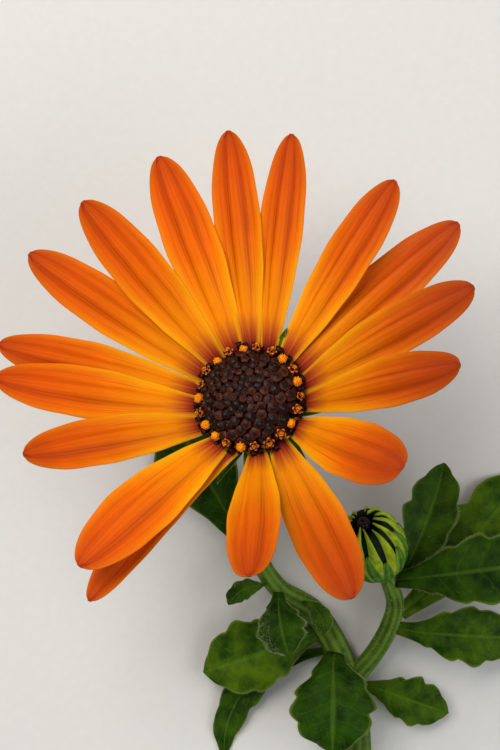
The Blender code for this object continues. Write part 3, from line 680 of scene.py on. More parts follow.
def floret_material(look):
    """Closed florets, grown, waxy: dark purple flesh, whose thin wax bloom catches a cool gloss on top."""
    made, add = new_material("closed_floret_grown_waxy", Roughness=0.30, IOR=1.42, Specular_IOR_Level=0.18)
    tone, along = (add("Attribute", out="Fac", attribute_name=name) for name in ("tone", "along"))
    place = add("TexCoord", out="Object")
    speck = add("TexNoise", {"Vector": place, "Scale": per(FLORET_SPECK), "Detail": 3.0})
    # Lighter florets are brown further up; darker ones have a wide dark top.
    reach = add("Math", (along, add("MapRange", (tone, 0.0, 1.0, 0.08, -0.10))), operation="ADD")
    # Painted shade: the near-black deep colour darkens the florets' lower sides, in the gaps between them.
    colour = add("ValToRGB", (reach,), ramp=(
        (0.0, look.deep), (0.46, look.deep), (0.56, look.rim), (0.66, look.skin), (0.75, look.top),
        # Painted highlight: the pale point colour at the tip stands in for a glint.
        (0.92, look.top), (1.0, look.point)))
    shades = [add("MapRange", (tone, 0.0, 1.0, 0.55, 1.45)), add("MapRange", (speck, 0.0, 1.0, 0.75, 1.3))]
    return finish(made, colour, add("Math", shades, operation="MULTIPLY"), speck, 0.9, 0.12)


def crown_material(look):
    """Open florets, grown, satin: dark tubes whose lobes turn orange at their tips."""
    made, add = new_material("open_floret_grown_satin", Roughness=0.45, IOR=1.42, Subsurface_Weight=0.05,
                             Subsurface_Scale=0.0003)
    tone, along = (add("Attribute", out="Fac", attribute_name=name) for name in ("tone", "along"))
    speck = add("TexNoise", {"Vector": add("TexCoord", out="Object"), "Scale": per(CROWN_SPECK)})
    colour = add("ValToRGB", (along,), ramp=(
        (0.0, look.deep), (0.22, look.rim), (0.50, look.crown), (1.0, look.pollen_shade)))
    shades = [add("MapRange", (speck, 0.0, 1.0, 0.75, 1.25)), add("MapRange", (tone, 0.0, 1.0, 1.15, 0.55))]
    return finish(made, colour, add("Math", shades, operation="MULTIPLY"), speck, 0.3, 0.04)


def pollen_material(look):
    """Pollen, shed, powdery: oily orange dust with no shine of its own."""
    made, add = new_material("pollen_shed_powdery", Roughness=1.0, IOR=1.4, Specular_IOR_Level=0.05,
                             Subsurface_Weight=0.1, Subsurface_Scale=0.0003)
    speck = add("TexNoise", {"Vector": add("TexCoord", out="Object"), "Scale": per(POLLEN_SPECK)})
    return finish(made, add("ValToRGB", (speck,), ramp=((0.35, look.pollen_shade), (0.60, look.pollen))))


def disc(look):
    """The dome with closed florets on a golden-angle spiral, and open florets and dark tubes at its foot."""
    rng = np.random.default_rng(SEEDS["disc"])
    arc = np.radians(np.linspace(90.0, 0.0, 14))
    profile = [(DOME_RADIUS * math.cos(a), DOME_HEIGHT * math.sin(a)) for a in arc]
    profile[0] = (0.0, DOME_HEIGHT)
    profile += [(DOME_RADIUS + 0.1, -0.5), (PLUG_RADIUS, -0.6), (PLUG_RADIUS, -1.7), (0.0, -1.7)]
    # The dome takes the deep colour: painted shade where it shows between the florets.
    patches = of(0, lathe(profile, 48, fade=0.0, tone=0.0))
    radius, pitch = floret_radii()
    turn = np.radians(GOLDEN_ANGLE) * np.arange(len(radius))
    turn = turn + rng.normal(0.0, 0.05, len(radius)) * pitch / (radius + 0.5)
    # The spiral's middle lies to one side, so the florets are crowded there and roomy on the other.
    x, y = radius * np.cos(turn), radius * np.sin(turn)
    aside = SPIRAL_ASIDE * (1.0 - (radius / DOME_RADIUS) ** 2)
    far = math.radians(SPIRAL_TOWARDS)
    crowded = 1.0 - SPIRAL_ASIDE * (x * math.cos(far) + y * math.sin(far)) / DOME_RADIUS**2
    x, y = x + aside * math.cos(far), y + aside * math.sin(far)
    places, outward = dome_places(np.hypot(x, y), np.arctan2(y, x))
    outward = unit(outward + rng.normal(0.0, 0.12, outward.shape))
    wide = look.fullness * pitch * crowded * rng.uniform(0.88, 1.07, len(pitch))
    tall = 0.54 * pitch * crowded ** -0.8 * rng.uniform(0.75, 1.30, len(pitch))
    axes = twisted(axes_from(outward, (0.6, 0.8, 0.0)), rng.uniform(0.0, TAU, len(pitch)))
    patches += of(0, repeated(bud_shape(), places, axes, wide, tall, tone=rng.uniform(0.0, 1.0, len(pitch))))
    # Open florets lean out by turns, as the solids have them: some end in a ball of pollen, some in a crown.
    number = np.arange(OPEN_FLORETS)
    turn = TAU * number / OPEN_FLORETS
    lean = np.radians(np.where(number % 2, 30.0, 42.0))
    outward = circle(turn, np.sin(lean), np.cos(lean))
    feet = circle(turn, DOME_RADIUS - 0.15, 0.5)
    tall = np.where(number % 2, 1.35, 1.0)
    axes = axes_from(outward, (0.1, 0.2, 0.97))
    heads = np.isin(number, POLLEN_HEADS)
    centres = feet + outward * tall[:, None]
    ball = lathe([(0, -1), (0.5, -0.87), (0.87, -0.5), (1, 0), (0.87, 0.5), (0.5, 0.87), (0, 1)], 12)
    patches += of(1, repeated(tube_shape(), feet, axes, TUBE_RADIUS, tall + 0.15))
    patches += of(2, repeated(ball, centres[heads], axes[heads], POLLEN_RADIUS),
                  grains(centres[heads], POLLEN_RADIUS, POLLEN_GRAINS, look.grain, rng))
    axes, outward = axes[~heads], outward[~heads]
    mouths = centres[~heads] + outward * 0.12
    crowns = twisted(axes, rng.uniform(0.0, TAU, len(mouths)))
    patches += of(1, repeated(crown_shape(), mouths, crowns, rng.uniform(0.66, 1.0, len(mouths)),
                              tone=rng.uniform(0.0, 1.0, len(mouths))))
    style = lathe([(0, -0.4), (1, -0.4), (0.9, 0.6), (1.25, 0.8), (0.8, 1.0), (0, 1.05)], 8)
    patches += of(0, repeated(style, mouths, axes, 0.14, 0.50))
    patches += of(2, grains(mouths + outward * 0.5, 0.20, STYLE_GRAINS, look.grain, rng))
    # Dark tubes stand lower and further out, in two ragged rows between the open florets.
    count = 2 * OPEN_FLORETS
    turn = TAU * (np.arange(count) + 0.5 + rng.uniform(-0.3, 0.3, count)) / count
    lean = np.radians(rng.uniform(45.0, 82.0, count))
    axes = axes_from(circle(turn, np.sin(lean), np.cos(lean)), (0.1, 0.2, 0.97))
    wide, tall = rng.uniform(0.26, 0.40, count), rng.uniform(1.2, 2.2, count)
    patches += of(0, repeated(tube_shape(), circle(turn, DOME_RADIUS - 0.3, 0.1), axes, wide, tall, tone=0.0))
    materials = [floret_material(look), crown_material(look), pollen_material(look)]
    piece("disc_florets", patches, materials, bloom_frame())


# ---------------------------------------------------------------- greens

def green_material(name, dark, light, rim, roughness, grain):
    """Bract or stem skin, grown, softly waxy: fine streaks along the growth and a paler margin or rib.

    The grain is the size of the mottling in millimetres; the streaks are a fifth of it.
    """
    made, add = new_material(name, Roughness=roughness, Specular_IOR_Level=0.11, Subsurface_Weight=0.08,
                             **GREEN_FLESH)
    ridge, along = (add("Attribute", out="Fac", attribute_name=key) for key in ("ridge", "along"))
    place = add("TexCoord", out="Object")
    mottle = add("TexNoise", {"Vector": place, "Scale": per(grain), "Detail": 4.0})
    fine = add("TexNoise", {"Vector": place, "Scale": 5.0 * per(grain)})
    colour = add("ValToRGB", (mottle,), ramp=((0.34, dark), (0.66, light)))
    paler = add("Math", (ridge, 0.55), operation="MULTIPLY")
    colour = add("Mix", {0: paler, 6: colour, 7: rim}, 2, data_type="RGBA")
    shades = [add("MapRange", (fine, 0.0, 1.0, 0.85, 1.15)), add("MapRange", (along, 0.0, 1.0, 0.92, 1.10))]
    return finish(made, colour, add("Math", shades, operation="MULTIPLY"), fine, 0.35, 0.06)


def hair_material():
    """Plant hair, grown, glassy: clear cells full of air, which look white against the green."""
    made, add = new_material("plant_hair_grown_glassy", Roughness=0.4, IOR=1.4, Transmission_Weight=0.15)
    cloud = add("TexNoise", {"Vector": add("TexCoord", out="Object"), "Scale": per(HAIR_CLOUD)})
    return finish(made, add("ValToRGB", (cloud,), ramp=((0.3, linear("8e9c6a")), (0.7, linear("cdd4b0")))))


def involucre(look):
    """The cup under the petals, turned and slightly fluted, and its spreading bracts.

    A bract's half width falls as a power of its length to a fine point; its height is a shallow trough with a
    raised middle rib.
    """
    rng = np.random.default_rng(SEEDS["involucre"])
    base = CUP_TOP - CUP_DEPTH
    outer = smooth_path([
        (STALK_TOP_RADIUS + 0.1, base), (0.52 * CUP_RADIUS, CUP_TOP - 3.6),
        (0.88 * CUP_RADIUS, CUP_TOP - 2.0), (CUP_RADIUS, CUP_TOP - 0.6), (CUP_RADIUS - 0.5, CUP_TOP)], 5)
    cup = lathe([(0.0, CUP_TOP), *outer[::-1], (0.0, base - 0.1)], 64, BRACTS, 0.015, fade=0.3)
    patches, roots = of(0, cup), []
    s, v = across_grid(*BRACT_GRID, 1.2)
    for number in range(BRACTS):
        azimuth = 360.0 * number / BRACTS + BRACT_START
        start = circle(math.radians(azimuth), BRACT_ROOT, CUP_TOP - 2.2)
        way = (rng.uniform(-4.0, 4.0), 16.0, BRACT_LENGTH + 0.15, 0.0, rng.uniform(1.0, 7.0))
        turned, pitch, length, sweep, bend = SHOWN_WAY if number == BRACT_SHOWN else way
        middle, _, wide, up = spine(start, azimuth + turned, pitch, length, sweep, bend, s)
        half = 0.5 * BRACT_WIDTH * np.maximum(1.0 - s**1.8, 0.03)
        height = 0.12 * BRACT_WIDTH * v * v + 0.12 * np.exp(-((v / 0.22) ** 2)) * (1.0 - s)
        thick = (0.12 + 0.40 * (1.0 - v * v)) * (1.0 - 0.5 * s)
        ridge = np.where(np.abs(v) > 0.86, 1.0, 0.45 * np.exp(-((v / 0.15) ** 2)))
        patch = sheet(middle, wide, up, half * v, height, thick, s, v, ridge=ridge)
        patches += of(0, patch)
        margins = patch["points"].reshape(len(s), -1, 3)[6:20:2, [0, BRACT_GRID[1] - 1]]
        roots.append(margins.reshape(-1, 3))
    roots = np.concatenate(roots)
    outward = unit(roots * (1.0, 1.0, 0.0)) * 0.6 - 0.4 * UPRIGHT
    patches += of(1, hairs(roots, outward, look, rng))
    colours = look.bract_dark, look.bract, look.bract_rim
    green = green_material("bract_skin_grown_waxy", *colours, 0.48, BRACT_GRAIN)
    piece("involucre", patches, [green, hair_material()], bloom_frame())


def bud_profile(s):
    """The bud's radius at share s of its length: a sine raised to a low power."""
    return BUD_RADIUS * np.sin(np.pi * (0.08 + 0.78 * s)) ** 0.62


def bud(look, disc_look):
    """The bud's body with its hollow, the bracts along its side, and the rolled petals inside.

    A bract follows the body's profile, with its half width a sine of its length, a round back and a tip that
    leans over the hollow.
    """
    rng = np.random.default_rng(SEEDS["bud"])
    floor = BUD_LENGTH - BUD_HOLLOW_DEPTH
    sides = [(bud_profile(s) - 0.12, BUD_LENGTH * s) for s in np.linspace(BUD_RIM, 0.0, 20)]
    # Painted shade: the body's near-black green stands for the shade between the bracts and in the hollow.
    body = lathe([(0.0, floor), (BUD_HOLLOW_RADIUS - 0.1, floor), (BUD_HOLLOW_RADIUS, floor + 0.6),
                  (BUD_HOLLOW_RADIUS, BUD_RIM * BUD_LENGTH - 0.1), *sides, (0.0, -0.1)], 52, fade=0.0)
    # The stalk swells into the foot of the bracts.
    foot = lathe([(0.0, 0.6), (1.95, 0.5), (2.12, 0.2), (1.85, -0.15), (1.40, -0.5), (1.12, -0.9),
                  (1.0, -1.2), (0.0, -1.2)], 48, 8, 0.03, fade=0.3)
    patches = of(1, body) + of(3, foot)
    s, v = across_grid(*BUD_BRACT_GRID)
    last = BUD_BRACT_GRID[1] - 1
    roots, away = [], []
    # Inner bracts reach the hollow; outer ones, darker and shorter, lie over the gaps at the foot.
    numbers = range(BUD_BRACTS)
    rows = [(0, number / BUD_BRACTS, 0.97 + rng.uniform(-0.04, 0.03), 0.74, 0.0, 0.8) for number in numbers]
    rows += [(3, (number + rng.uniform(0.3, 0.7)) / BUD_BRACTS, rng.uniform(0.50, 0.78), 0.95, 0.20, 0.55)
             for number in numbers]
    for material, share, tall, wide_half, stand, blunt in rows:
        reach = 0.04 + tall * s
        over = np.clip((reach - 0.88) / 0.12, 0.0, 1.2) ** 1.5
        half = wide_half * np.sin(np.pi * (0.20 + 0.79 * s)) ** blunt
        radius = bud_profile(np.minimum(reach, 1.0)) + stand - 0.75 * over
        radius = radius + 0.24 * (1.0 - v * v) * np.sin(np.pi * (0.1 + 0.85 * s))
        middle = np.stack([radius, 0.0 * s, BUD_LENGTH * reach], axis=-1)
        steep = np.gradient(radius[:, last // 2], BUD_LENGTH * reach[:, last // 2])[:, None] + 0.0 * s
        up = unit(np.stack([1.0 + 0.0 * s, 0.0 * s, -steep], axis=-1))
        sway = 0.12 * np.sin(TAU * (0.8 * s + rng.uniform())) + 0.25 * over * rng.uniform(-1.0, 1.0)
        ridge = np.where(np.abs(v) > 0.8, 1.0, 0.35 * np.exp(-((v / 0.2) ** 2)))
        patch = sheet(middle, SIDEWAYS, up, half * v + sway, 0.0 * s, 0.16 + 0.34 * (1.0 - v * v), s, v,
                      ridge=ridge)
        patch["points"] = spun(patch["points"], TAU * share)
        patches += of(material, patch)
        grid = patch["points"].reshape(len(s), -1, 3)[4:32:3]
        roots.append(grid[:, [0, last // 2, last]].reshape(-1, 3))
        away.append(np.repeat(unit(grid[:, last // 2] * (1.0, 1.0, 0.0)), 3, axis=0))
    away = np.concatenate(away) + 0.5 * UPRIGHT
    patches += of(2, hairs(np.concatenate(roots), away, look, rng, 0.8))
    piece("bud_bracts", patches, [
        green_material("bud_bract_grown_waxy", look.bud_dark, look.bud, look.bract_rim, 0.48, BUD_GRAIN),
        # Painted shade: the body's near-black greens.
        green_material("bud_body_painted_shade", look.shade_dark, look.shade, look.shade, 0.6, BUD_BODY_GRAIN),
        hair_material(),
        green_material("outer_bract_grown_waxy", look.bract_dark, look.bract, look.bract_rim, 0.5, BUD_GRAIN),
    ], bud_frame())
    # Rolled petals: tapered rolls with a spiral seam, closed by rounded tips.
    turn = TAU * np.arange(BUD_PETALS) / BUD_PETALS
    lean = spun(unit(np.broadcast_to([-0.16, 0.06, 1.0], (BUD_PETALS, 3))), turn)
    roll = lathe([(0, -0.1), (1.0, 0.0), (1.05, 0.4), (0.95, 0.75), (0.70, 0.93), (0.3, 1.0), (0, 0.97)],
                 14, 3, 0.09, fade=0.55)
    feet, axes = circle(turn, 0.72, floor + 0.5), axes_from(lean, (0.6, 0.8, 0.0))
    rolls = repeated(roll, feet, axes, 0.46, 2.2, tone=0.0)
    core = lathe([(0, floor + 1.6), (0.8, floor + 1.5), (1.05, floor + 0.3), (1.05, floor - 0.1),
                  (0, floor - 0.1)], 24, fade=0.0)
    piece("bud_petals", [rolls, core], [floret_material(disc_look)], bud_frame())


def ribbed_tube(rows, closed_end):
    """A stem: rings square to its centre line, whose radius goes in and out by the ribs.

    The cut end closes in rings towards its middle, slightly sunk.
    """
    points, radius = rows[:, :3], rows[:, 3]
    tangent = unit(np.gradient(points, axis=0))
    axes = axes_from(tangent)
    turn = np.linspace(0.0, TAU, STEM_SIDES, endpoint=False)
    swell = radius[:, None] * (1.0 + 0.035 * np.cos(STEM_RIBS * turn))
    rings = points[:, None] + np.einsum("nij,kj->nki", axes, circle(turn)) * swell[..., None]
    cut = [points[0] + tangent[0] * sunk + (rings[0] - points[0]) * size for size, sunk in closed_end]
    rings = np.concatenate([cut, rings])
    made = round_shell(rings, points[0] + tangent[0] * closed_end[0][1], points[-1] + tangent[-1] * 0.05)
    along = np.concatenate([np.zeros(len(cut)), np.linspace(0.0, 1.0, len(rows))])
    peaks = np.tile(0.5 + 0.5 * np.cos(STEM_RIBS * turn), len(rings))
    is_cut = np.concatenate([np.linspace(1.0, 0.55, len(cut)), np.zeros(len(rows))])
    made["data"] = {
        "along": np.concatenate([np.repeat(along, STEM_SIDES), [0.0, 1.0]]),
        "ridge": np.concatenate([0.5 * peaks, [0.0, 0.0]]),
        "cut": np.concatenate([np.repeat(is_cut, STEM_SIDES), [1.0, 0.0]]),
    }
    return made, axes


def stem_material(look):
    """Stem skin, grown, softly waxy: ribs paler than the grooves, and moist pale pith where it is cut."""
    made = green_material("stem_skin_grown_waxy", look.stem_dark, look.stem, look.bract_rim, 0.5, STEM_GRAIN)
    whole = made.node_tree.nodes["Principled BSDF"].inputs["Base Color"].links[0].from_socket
    cut = node(made.node_tree, "Attribute", out="Fac", attribute_name="cut")
    return finish(made, node(made.node_tree, "Mix", {0: cut, 6: whole, 7: look.pith}, 2, data_type="RGBA"))


def stems(look):
    """The main stem with the flower stalk, and the side shoot that carries the bud."""
    rng = np.random.default_rng(SEEDS["stems"])
    ends = {"main": ((0.30, 0.12), (0.74, 0.07), (0.90, 0.02)), "side": ((0.5, 0.0), (0.9, 0.0))}
    patches = []
    for name, rows in stem_rows(12).items():
        # Each tube runs on a little, into what it carries.
        beyond = rows[-1:] + (rows[-1:] - rows[-2:-1]) * 1.3
        beyond[:, 3] = 0.96 * rows[-1, 3]
        rows = np.concatenate([rows, beyond])
        tube, axes = ribbed_tube(rows, ends[name])
        patches += of(0, tube)
        count = int(look.stem_hairs * len(rows) / 60)
        at, turn = rng.integers(2, len(rows) - 3, count), rng.uniform(0.0, TAU, count)
        outward = np.einsum("nij,nj->ni", axes[at], circle(turn))
        further = rng.uniform(-0.3, 0.3, (count, 1)) * axes[at][:, :, 2]
        roots = rows[at, :3] + outward * rows[at, 3:4] * 0.98 + further
        lifted = roots[:, 2] > 0.25
        patches += of(1, hairs(roots[lifted], outward[lifted], look, rng))
    piece("stem", patches, [stem_material(look), hair_material()])


# ---------------------------------------------------------------- leaves

def leaf_line(spec, s):
    """The leaf's own spine, drawn back over its first tenth so that its foot sits in the stem's skin."""
    path, place, heading, pitch, bend, sweep, length = spec[:7]
    rows = stem_rows(4)[path]
    at = place * (len(rows) - 1)
    here = np.array([np.interp(at, np.arange(len(rows)), rows[:, i]) for i in range(4)])
    ahead = unit(rows[min(int(at) + 1, len(rows) - 1), :3] - rows[int(at), :3])
    turn, rise = math.radians(heading), math.radians(pitch)
    leaving = np.array([math.cos(rise) * math.cos(turn), math.cos(rise) * math.sin(turn), math.sin(rise)])
    off = unit(leaving - ahead * (leaving @ ahead))
    middle, along, wide, up = spine(here[:3] + off * (here[3] + 0.75), heading, pitch, length, sweep, bend, s)
    sink = 0.95 * np.clip(1.0 - s / 0.12, 0.0, 1.0) ** 1.5
    return middle - off * sink[..., None], along, wide, up


def leaf(name, look, materials, rng):
    """One leaf.

    Half width: a sine from a narrow foot to past the middle, closed by a power to a short point, with teeth
    that rise over two thirds of their pitch and fall over the last third. Height: the sides fold up from the
    midrib, the margins curl down and wave, and the midrib is a groove above and a rib below.
    """
    spec = LEAVES[name]
    width, fold, curl, wave, tone = spec[7:]
    s, v = across_grid(*LEAF_GRID)
    middle, along, wide, up = leaf_line(spec, s)
    body = 0.24 + 0.76 * np.sin(0.5 * np.pi * np.minimum(s / 0.58, 1.0)) ** 1.5
    tip = (1.0 - np.clip((s - 0.50) / 0.50, 0.0, 1.0) ** 2.4) ** 0.8
    # The teeth of one side stand a third of their pitch further on than those of the other.
    beat = s * LEAF_TEETH + np.where(v > 0.0, 0.0, 1.0 / 3.0)
    place = beat % 1.0
    tooth = np.sin(0.5 * np.pi * np.minimum(place / TOOTH_RISE, (1.0 - place) / TOOTH_FALL)) ** 1.2
    # Each tooth has a size of its own, which goes smoothly over to the next one's.
    sizes = rng.uniform(0.25, 1.0, (2, TOOTH_SIZES))
    size = np.where(v > 0.0, *(np.interp(beat, np.arange(TOOTH_SIZES) + 0.5, side) for side in sizes))
    gate = np.clip((s - 0.14) / 0.08, 0.0, 1.0) * np.clip((0.97 - s) / 0.05, 0.0, 1.0)
    cut = 1.0 + TOOTH * (tooth - 0.5) * gate * size
    small = 1.0 + 0.012 * np.sin(TAU * 1.7 * LEAF_TEETH * s + 6.0 * v)
    # Teeth fade towards the midrib, so the veins run straight.
    half = 0.5 * width * np.maximum(body * tip * (1.0 + (cut * small - 1.0) * v * v), 0.035)
    belly = 0.5 * width * np.sin(np.pi * (0.08 + 0.84 * s))
    ripple = wave * np.sin(TAU * (1.6 * s + 0.25 * v))
    height = belly * (fold * np.sqrt(v * v + 0.006) - curl * v * v + ripple * v * v)
    vein = np.exp(-((v * half / 0.28) ** 2)) * (1.0 - s)
    side_vein = np.cos(TAU * (s * SIDE_VEINS - VEIN_SLANT * np.abs(v)))
    height = height - 0.14 * vein
    height = height + 0.045 * side_vein * np.abs(v) * (1.0 - np.abs(v)) * 4.0 * np.sin(np.pi * s)
    thick = (0.16 + 0.40 * (1.0 - np.abs(v) ** 3)) * (1.0 - 0.3 * s) + 0.45 * vein
    patch = sheet(middle, wide, up, half * v, height - 0.16 * vein, thick, s, v, tone=tone)
    patch["points"][:, 2] = np.maximum(patch["points"][:, 2], 0.30 - 0.27 * patch["data"]["under"])
    patches = of(0, patch)
    grid = patch["points"].reshape(len(s), -1, 3)
    # Hairs on both margins, and a few over the upper side.
    last_row, last = LEAF_GRID[0] - 1, LEAF_GRID[1] - 1
    rows = np.arange(8, last_row, 1 if name == HAIRY_LEAF else max(1, round(18.0 / spec[6])))
    onward = 0.35 * np.tile(along[rows, last // 2], (2, 1))
    outward = np.concatenate([-wide[rows, 0], wide[rows, last]]) + onward
    margins = np.concatenate([grid[rows, 0], grid[rows, last]])
    patches += of(1, hairs(margins, outward, look, rng, stray=0.25))
    some = rng.integers(6, last_row - 4, LEAF_HAIRS), rng.integers(1, last, LEAF_HAIRS)
    patches += of(1, hairs(grid[some], up[some] + 0.4 * along[some], look, rng, 0.5, 0.8))
    if name == HAIRY_LEAF:
        # A pelt over the outer half of one side.
        row, column = rng.integers(20, last_row - 4, PELT_HAIRS), rng.integers(12, last - 1, PELT_HAIRS)
        share = rng.uniform(0.0, 1.0, (PELT_HAIRS, 1))
        roots = grid[row, column] * (1.0 - share) + grid[row, column + 1] * share
        outward = up[row, column] + 0.6 * along[row, column]
        patches += of(1, hairs(roots, outward, look, rng, 1.0, 0.8))
    piece(name, patches, materials)


def leaf_material(look):
    """Leaf, grown, leathery: thick waxy skin with a pale toothed rim, a pale midrib and sunk side veins."""
    made, add = new_material("leaf_grown_leathery", Roughness=0.5, Specular_IOR_Level=0.09,
                             Subsurface_Weight=0.06, **GREEN_FLESH)
    tone, under = (add("Attribute", out="Fac", attribute_name=name) for name in ("tone", "under"))
    across, along = add("SeparateXYZ", (add("UVMap", uv_map="UVMap"),), None)[:2]
    place = add("TexCoord", out="Object")
    mottle = add("TexNoise", {"Vector": place, "Scale": per(LEAF_MOTTLE), "Detail": 4.0})
    pore = add("TexNoise", {"Vector": place, "Scale": per(LEAF_PORE)})
    side = add("Math", (add("Math", (across, 0.5), operation="SUBTRACT"),), operation="ABSOLUTE")
    side = add("Math", (side, 2.0), operation="MULTIPLY")
    # Side veins run forward from the midrib to the teeth, and waver with the mottle.
    slope = add("Math", (side, -VEIN_SLANT, mottle), operation="MULTIPLY_ADD")
    beat = add("Math", (along, SIDE_VEINS, slope), operation="MULTIPLY_ADD")
    beat = add("Math", (beat, 0.5), operation="PINGPONG")
    vein, rib, rim = (add("MapRange", values, interpolation_type="SMOOTHSTEP") for values in (
        (beat, 0.0, 0.10, 1.0, 0.0), (side, 0.02, 0.10, 1.0, 0.0), (side, 0.90, 0.99, 0.0, 1.0)))
    both = add("Math", (vein, 0.35, rib), operation="MULTIPLY_ADD")
    # Painted shade, in part: low tones give the dark greens to leaves that lie in shadow.
    dark = add("ValToRGB", (mottle,), ramp=((0.33, look.leaf_dark), (0.68, look.leaf)))
    bright = add("ValToRGB", (mottle,), ramp=((0.33, look.leaf), (0.68, look.leaf_yellow)))
    colour = add("Mix", {0: tone, 6: dark, 7: bright}, 2, data_type="RGBA")
    layers = (both, 0.40, look.leaf_vein), (rim, 0.40, look.leaf_rim), (under, 0.45, look.leaf_back)
    for shown, share, laid in layers:
        share = add("Math", (shown, share), operation="MULTIPLY")
        colour = add("Mix", {0: share, 6: colour, 7: laid}, 2, data_type="RGBA")
    relief = add("Math", (both, -1.0, pore), operation="MULTIPLY_ADD")
    return finish(made, colour, add("MapRange", (pore, 0.0, 1.0, 0.86, 1.14)), relief, 0.5, 0.12)


# ---------------------------------------------------------------- stage

def area_light(name, place, power, colour):
    """A soft square light at a place, in millimetres, turned to a point just under the bloom."""
    data = bpy.data.lights.new(name, "AREA")
    data.size = LIGHT_SIZE * MM
    data.energy = power
    data.color = colour
    made = bpy.data.objects.new(name, data)
    bpy.context.scene.collection.objects.link(made)
    made.location = Vector(place) * MM
    target = Vector((BLOOM_CENTRE[0], BLOOM_CENTRE[1], 15.0))
    made.rotation_euler = (target - Vector(place)).to_track_quat("-Z", "Y").to_euler()


def stage(look):
    """A pale floor, two soft lights over the bloom, a pale sky, and the camera straight above."""
    scene = bpy.context.scene
    mesh = bpy.data.meshes.new("floor")
    corners = [(x * FLOOR_REACH, y * FLOOR_REACH, 0) for x, y in ((-1, -1), (1, -1), (1, 1), (-1, 1))]
    mesh.from_pydata(corners, [], [(0, 1, 2, 3)])
    floor = bpy.data.objects.new("floor", mesh)
    scene.collection.objects.link(floor)
    # Painted board, rolled, matt: an even pale ground with a faint tooth.
    board, add = new_material("painted_board_rolled_matt", Roughness=0.9)
    place = add("TexCoord", out="Object")
    tooth = add("TexNoise", {"Vector": place, "Scale": per(BOARD_TOOTH), "Detail": 3.0})
    pale = tuple(look.floor)
    darker = tuple(0.97 * c for c in pale)
    mesh.materials.append(finish(board, add("ValToRGB", (tooth,), ramp=((0.3, darker), (0.7, pale)))))
    area_light("key_light", (-185.0, 225.0, 370.0), look.key, (1.0, 0.985, 0.95))
    area_light("fill_light", (300.0, -60.0, 260.0), look.fill, (0.93, 0.96, 1.0))
    world = bpy.data.worlds.new("studio")
    world.use_nodes = True
    sky = world.node_tree.nodes["Background"].inputs
    sky["Color"].default_value = (0.92, 0.95, 1.0, 1.0)
    sky["Strength"].default_value = look.sky
    scene.world = world
    scene.view_settings.view_transform = "Standard"
    camera = bpy.data.objects.new("camera", bpy.data.cameras.new("camera"))
    camera.data.sensor_fit = "AUTO"
    camera.data.sensor_width = SENSOR
    camera.data.lens = SENSOR * VIEW_DISTANCE / VIEW_HEIGHT
    camera.data.clip_start = 0.001
    camera.location = Vector(CAMERA_PLACE) * MM
    scene.collection.objects.link(camera)
    scene.camera = camera


# ---------------------------------------------------------------- add-on

def tint(name, description, code):
    """A colour that a user may change, from its sRGB hex code."""
    return FloatVectorProperty(name=name, description="Colour " + description, default=linear(code),
                               subtype="COLOR", size=3, min=0.0, max=1.0)


def measure(name, description, default, most):
    """A length that a user may change, as a plain number of millimetres."""
    return FloatProperty(name=name, description=description + ", in millimetres", default=default, min=0.0,
                         max=most)


class OsteospermumPetalLook(bpy.types.PropertyGroup):
    thickness: measure("Thickness", "Thickness of a petal at its middle", 0.45, 1.0)
    notch: measure("Tip notch", "Depth of the notches in a petal's tip", 0.06, 2.0)
    rib: FloatProperty(name="Ribs", description="Height of the fine ribs, as a share of the half width",
                       default=0.004, min=0.0, max=0.1)
    blotch: tint("Blotch", "at the petal's foot", "521418")
    flush: tint("Flush", "where the blotch ends", "a83a1c")
    gold: tint("Gold", "over the inner third", "f08a04")
    orange: tint("Orange", "of the middle", "e66a02")
    deep: tint("Deep orange", "of the outer third", "d85402")
    tip: tint("Tip", "of the tip", "bc4402")
    vein: tint("Vein", "of the veins and streaks", "92260a")
    margin: tint("Margin", "of the margin near the foot", "f6ac0a")
    # Painted shade: the darker red that the petals on the shaded side turn to at their tips.
    shade: tint("Dull side", "that the duller petals turn to at their tips", "9c340e")
    back: tint("Under side", "that the under side is dulled with", "b85a24")


class OsteospermumDiscLook(bpy.types.PropertyGroup):
    fullness: FloatProperty(name="Fullness", description="Radius of a closed floret, as a share of its pitch",
                            default=0.62, min=0.3, max=0.7)
    grain: measure("Grain", "Radius of a pollen grain, drawn coarse enough to show", 0.085, 0.3)
    # Painted shade: the florets' dark flesh, deepened to near-black in the gaps between them.
    deep: tint("Deep", "between the florets", "100604")
    rim: tint("Rim", "of the florets' shoulders", "481e12")
    skin: tint("Skin", "of the florets' sides", "34160c")
    top: tint("Top", "of the florets' tops", "160e0c")
    # Painted highlight: the pale point stands in for a glint on each floret's tip.
    point: tint("Point", "of the point in the middle", "524a46")
    crown: tint("Crown", "of the open florets' lobes", "b4540e")
    pollen: tint("Pollen", "of the pollen", "ffa018")
    pollen_shade: tint("Pollen shade", "between the pollen grains", "e67a0a")


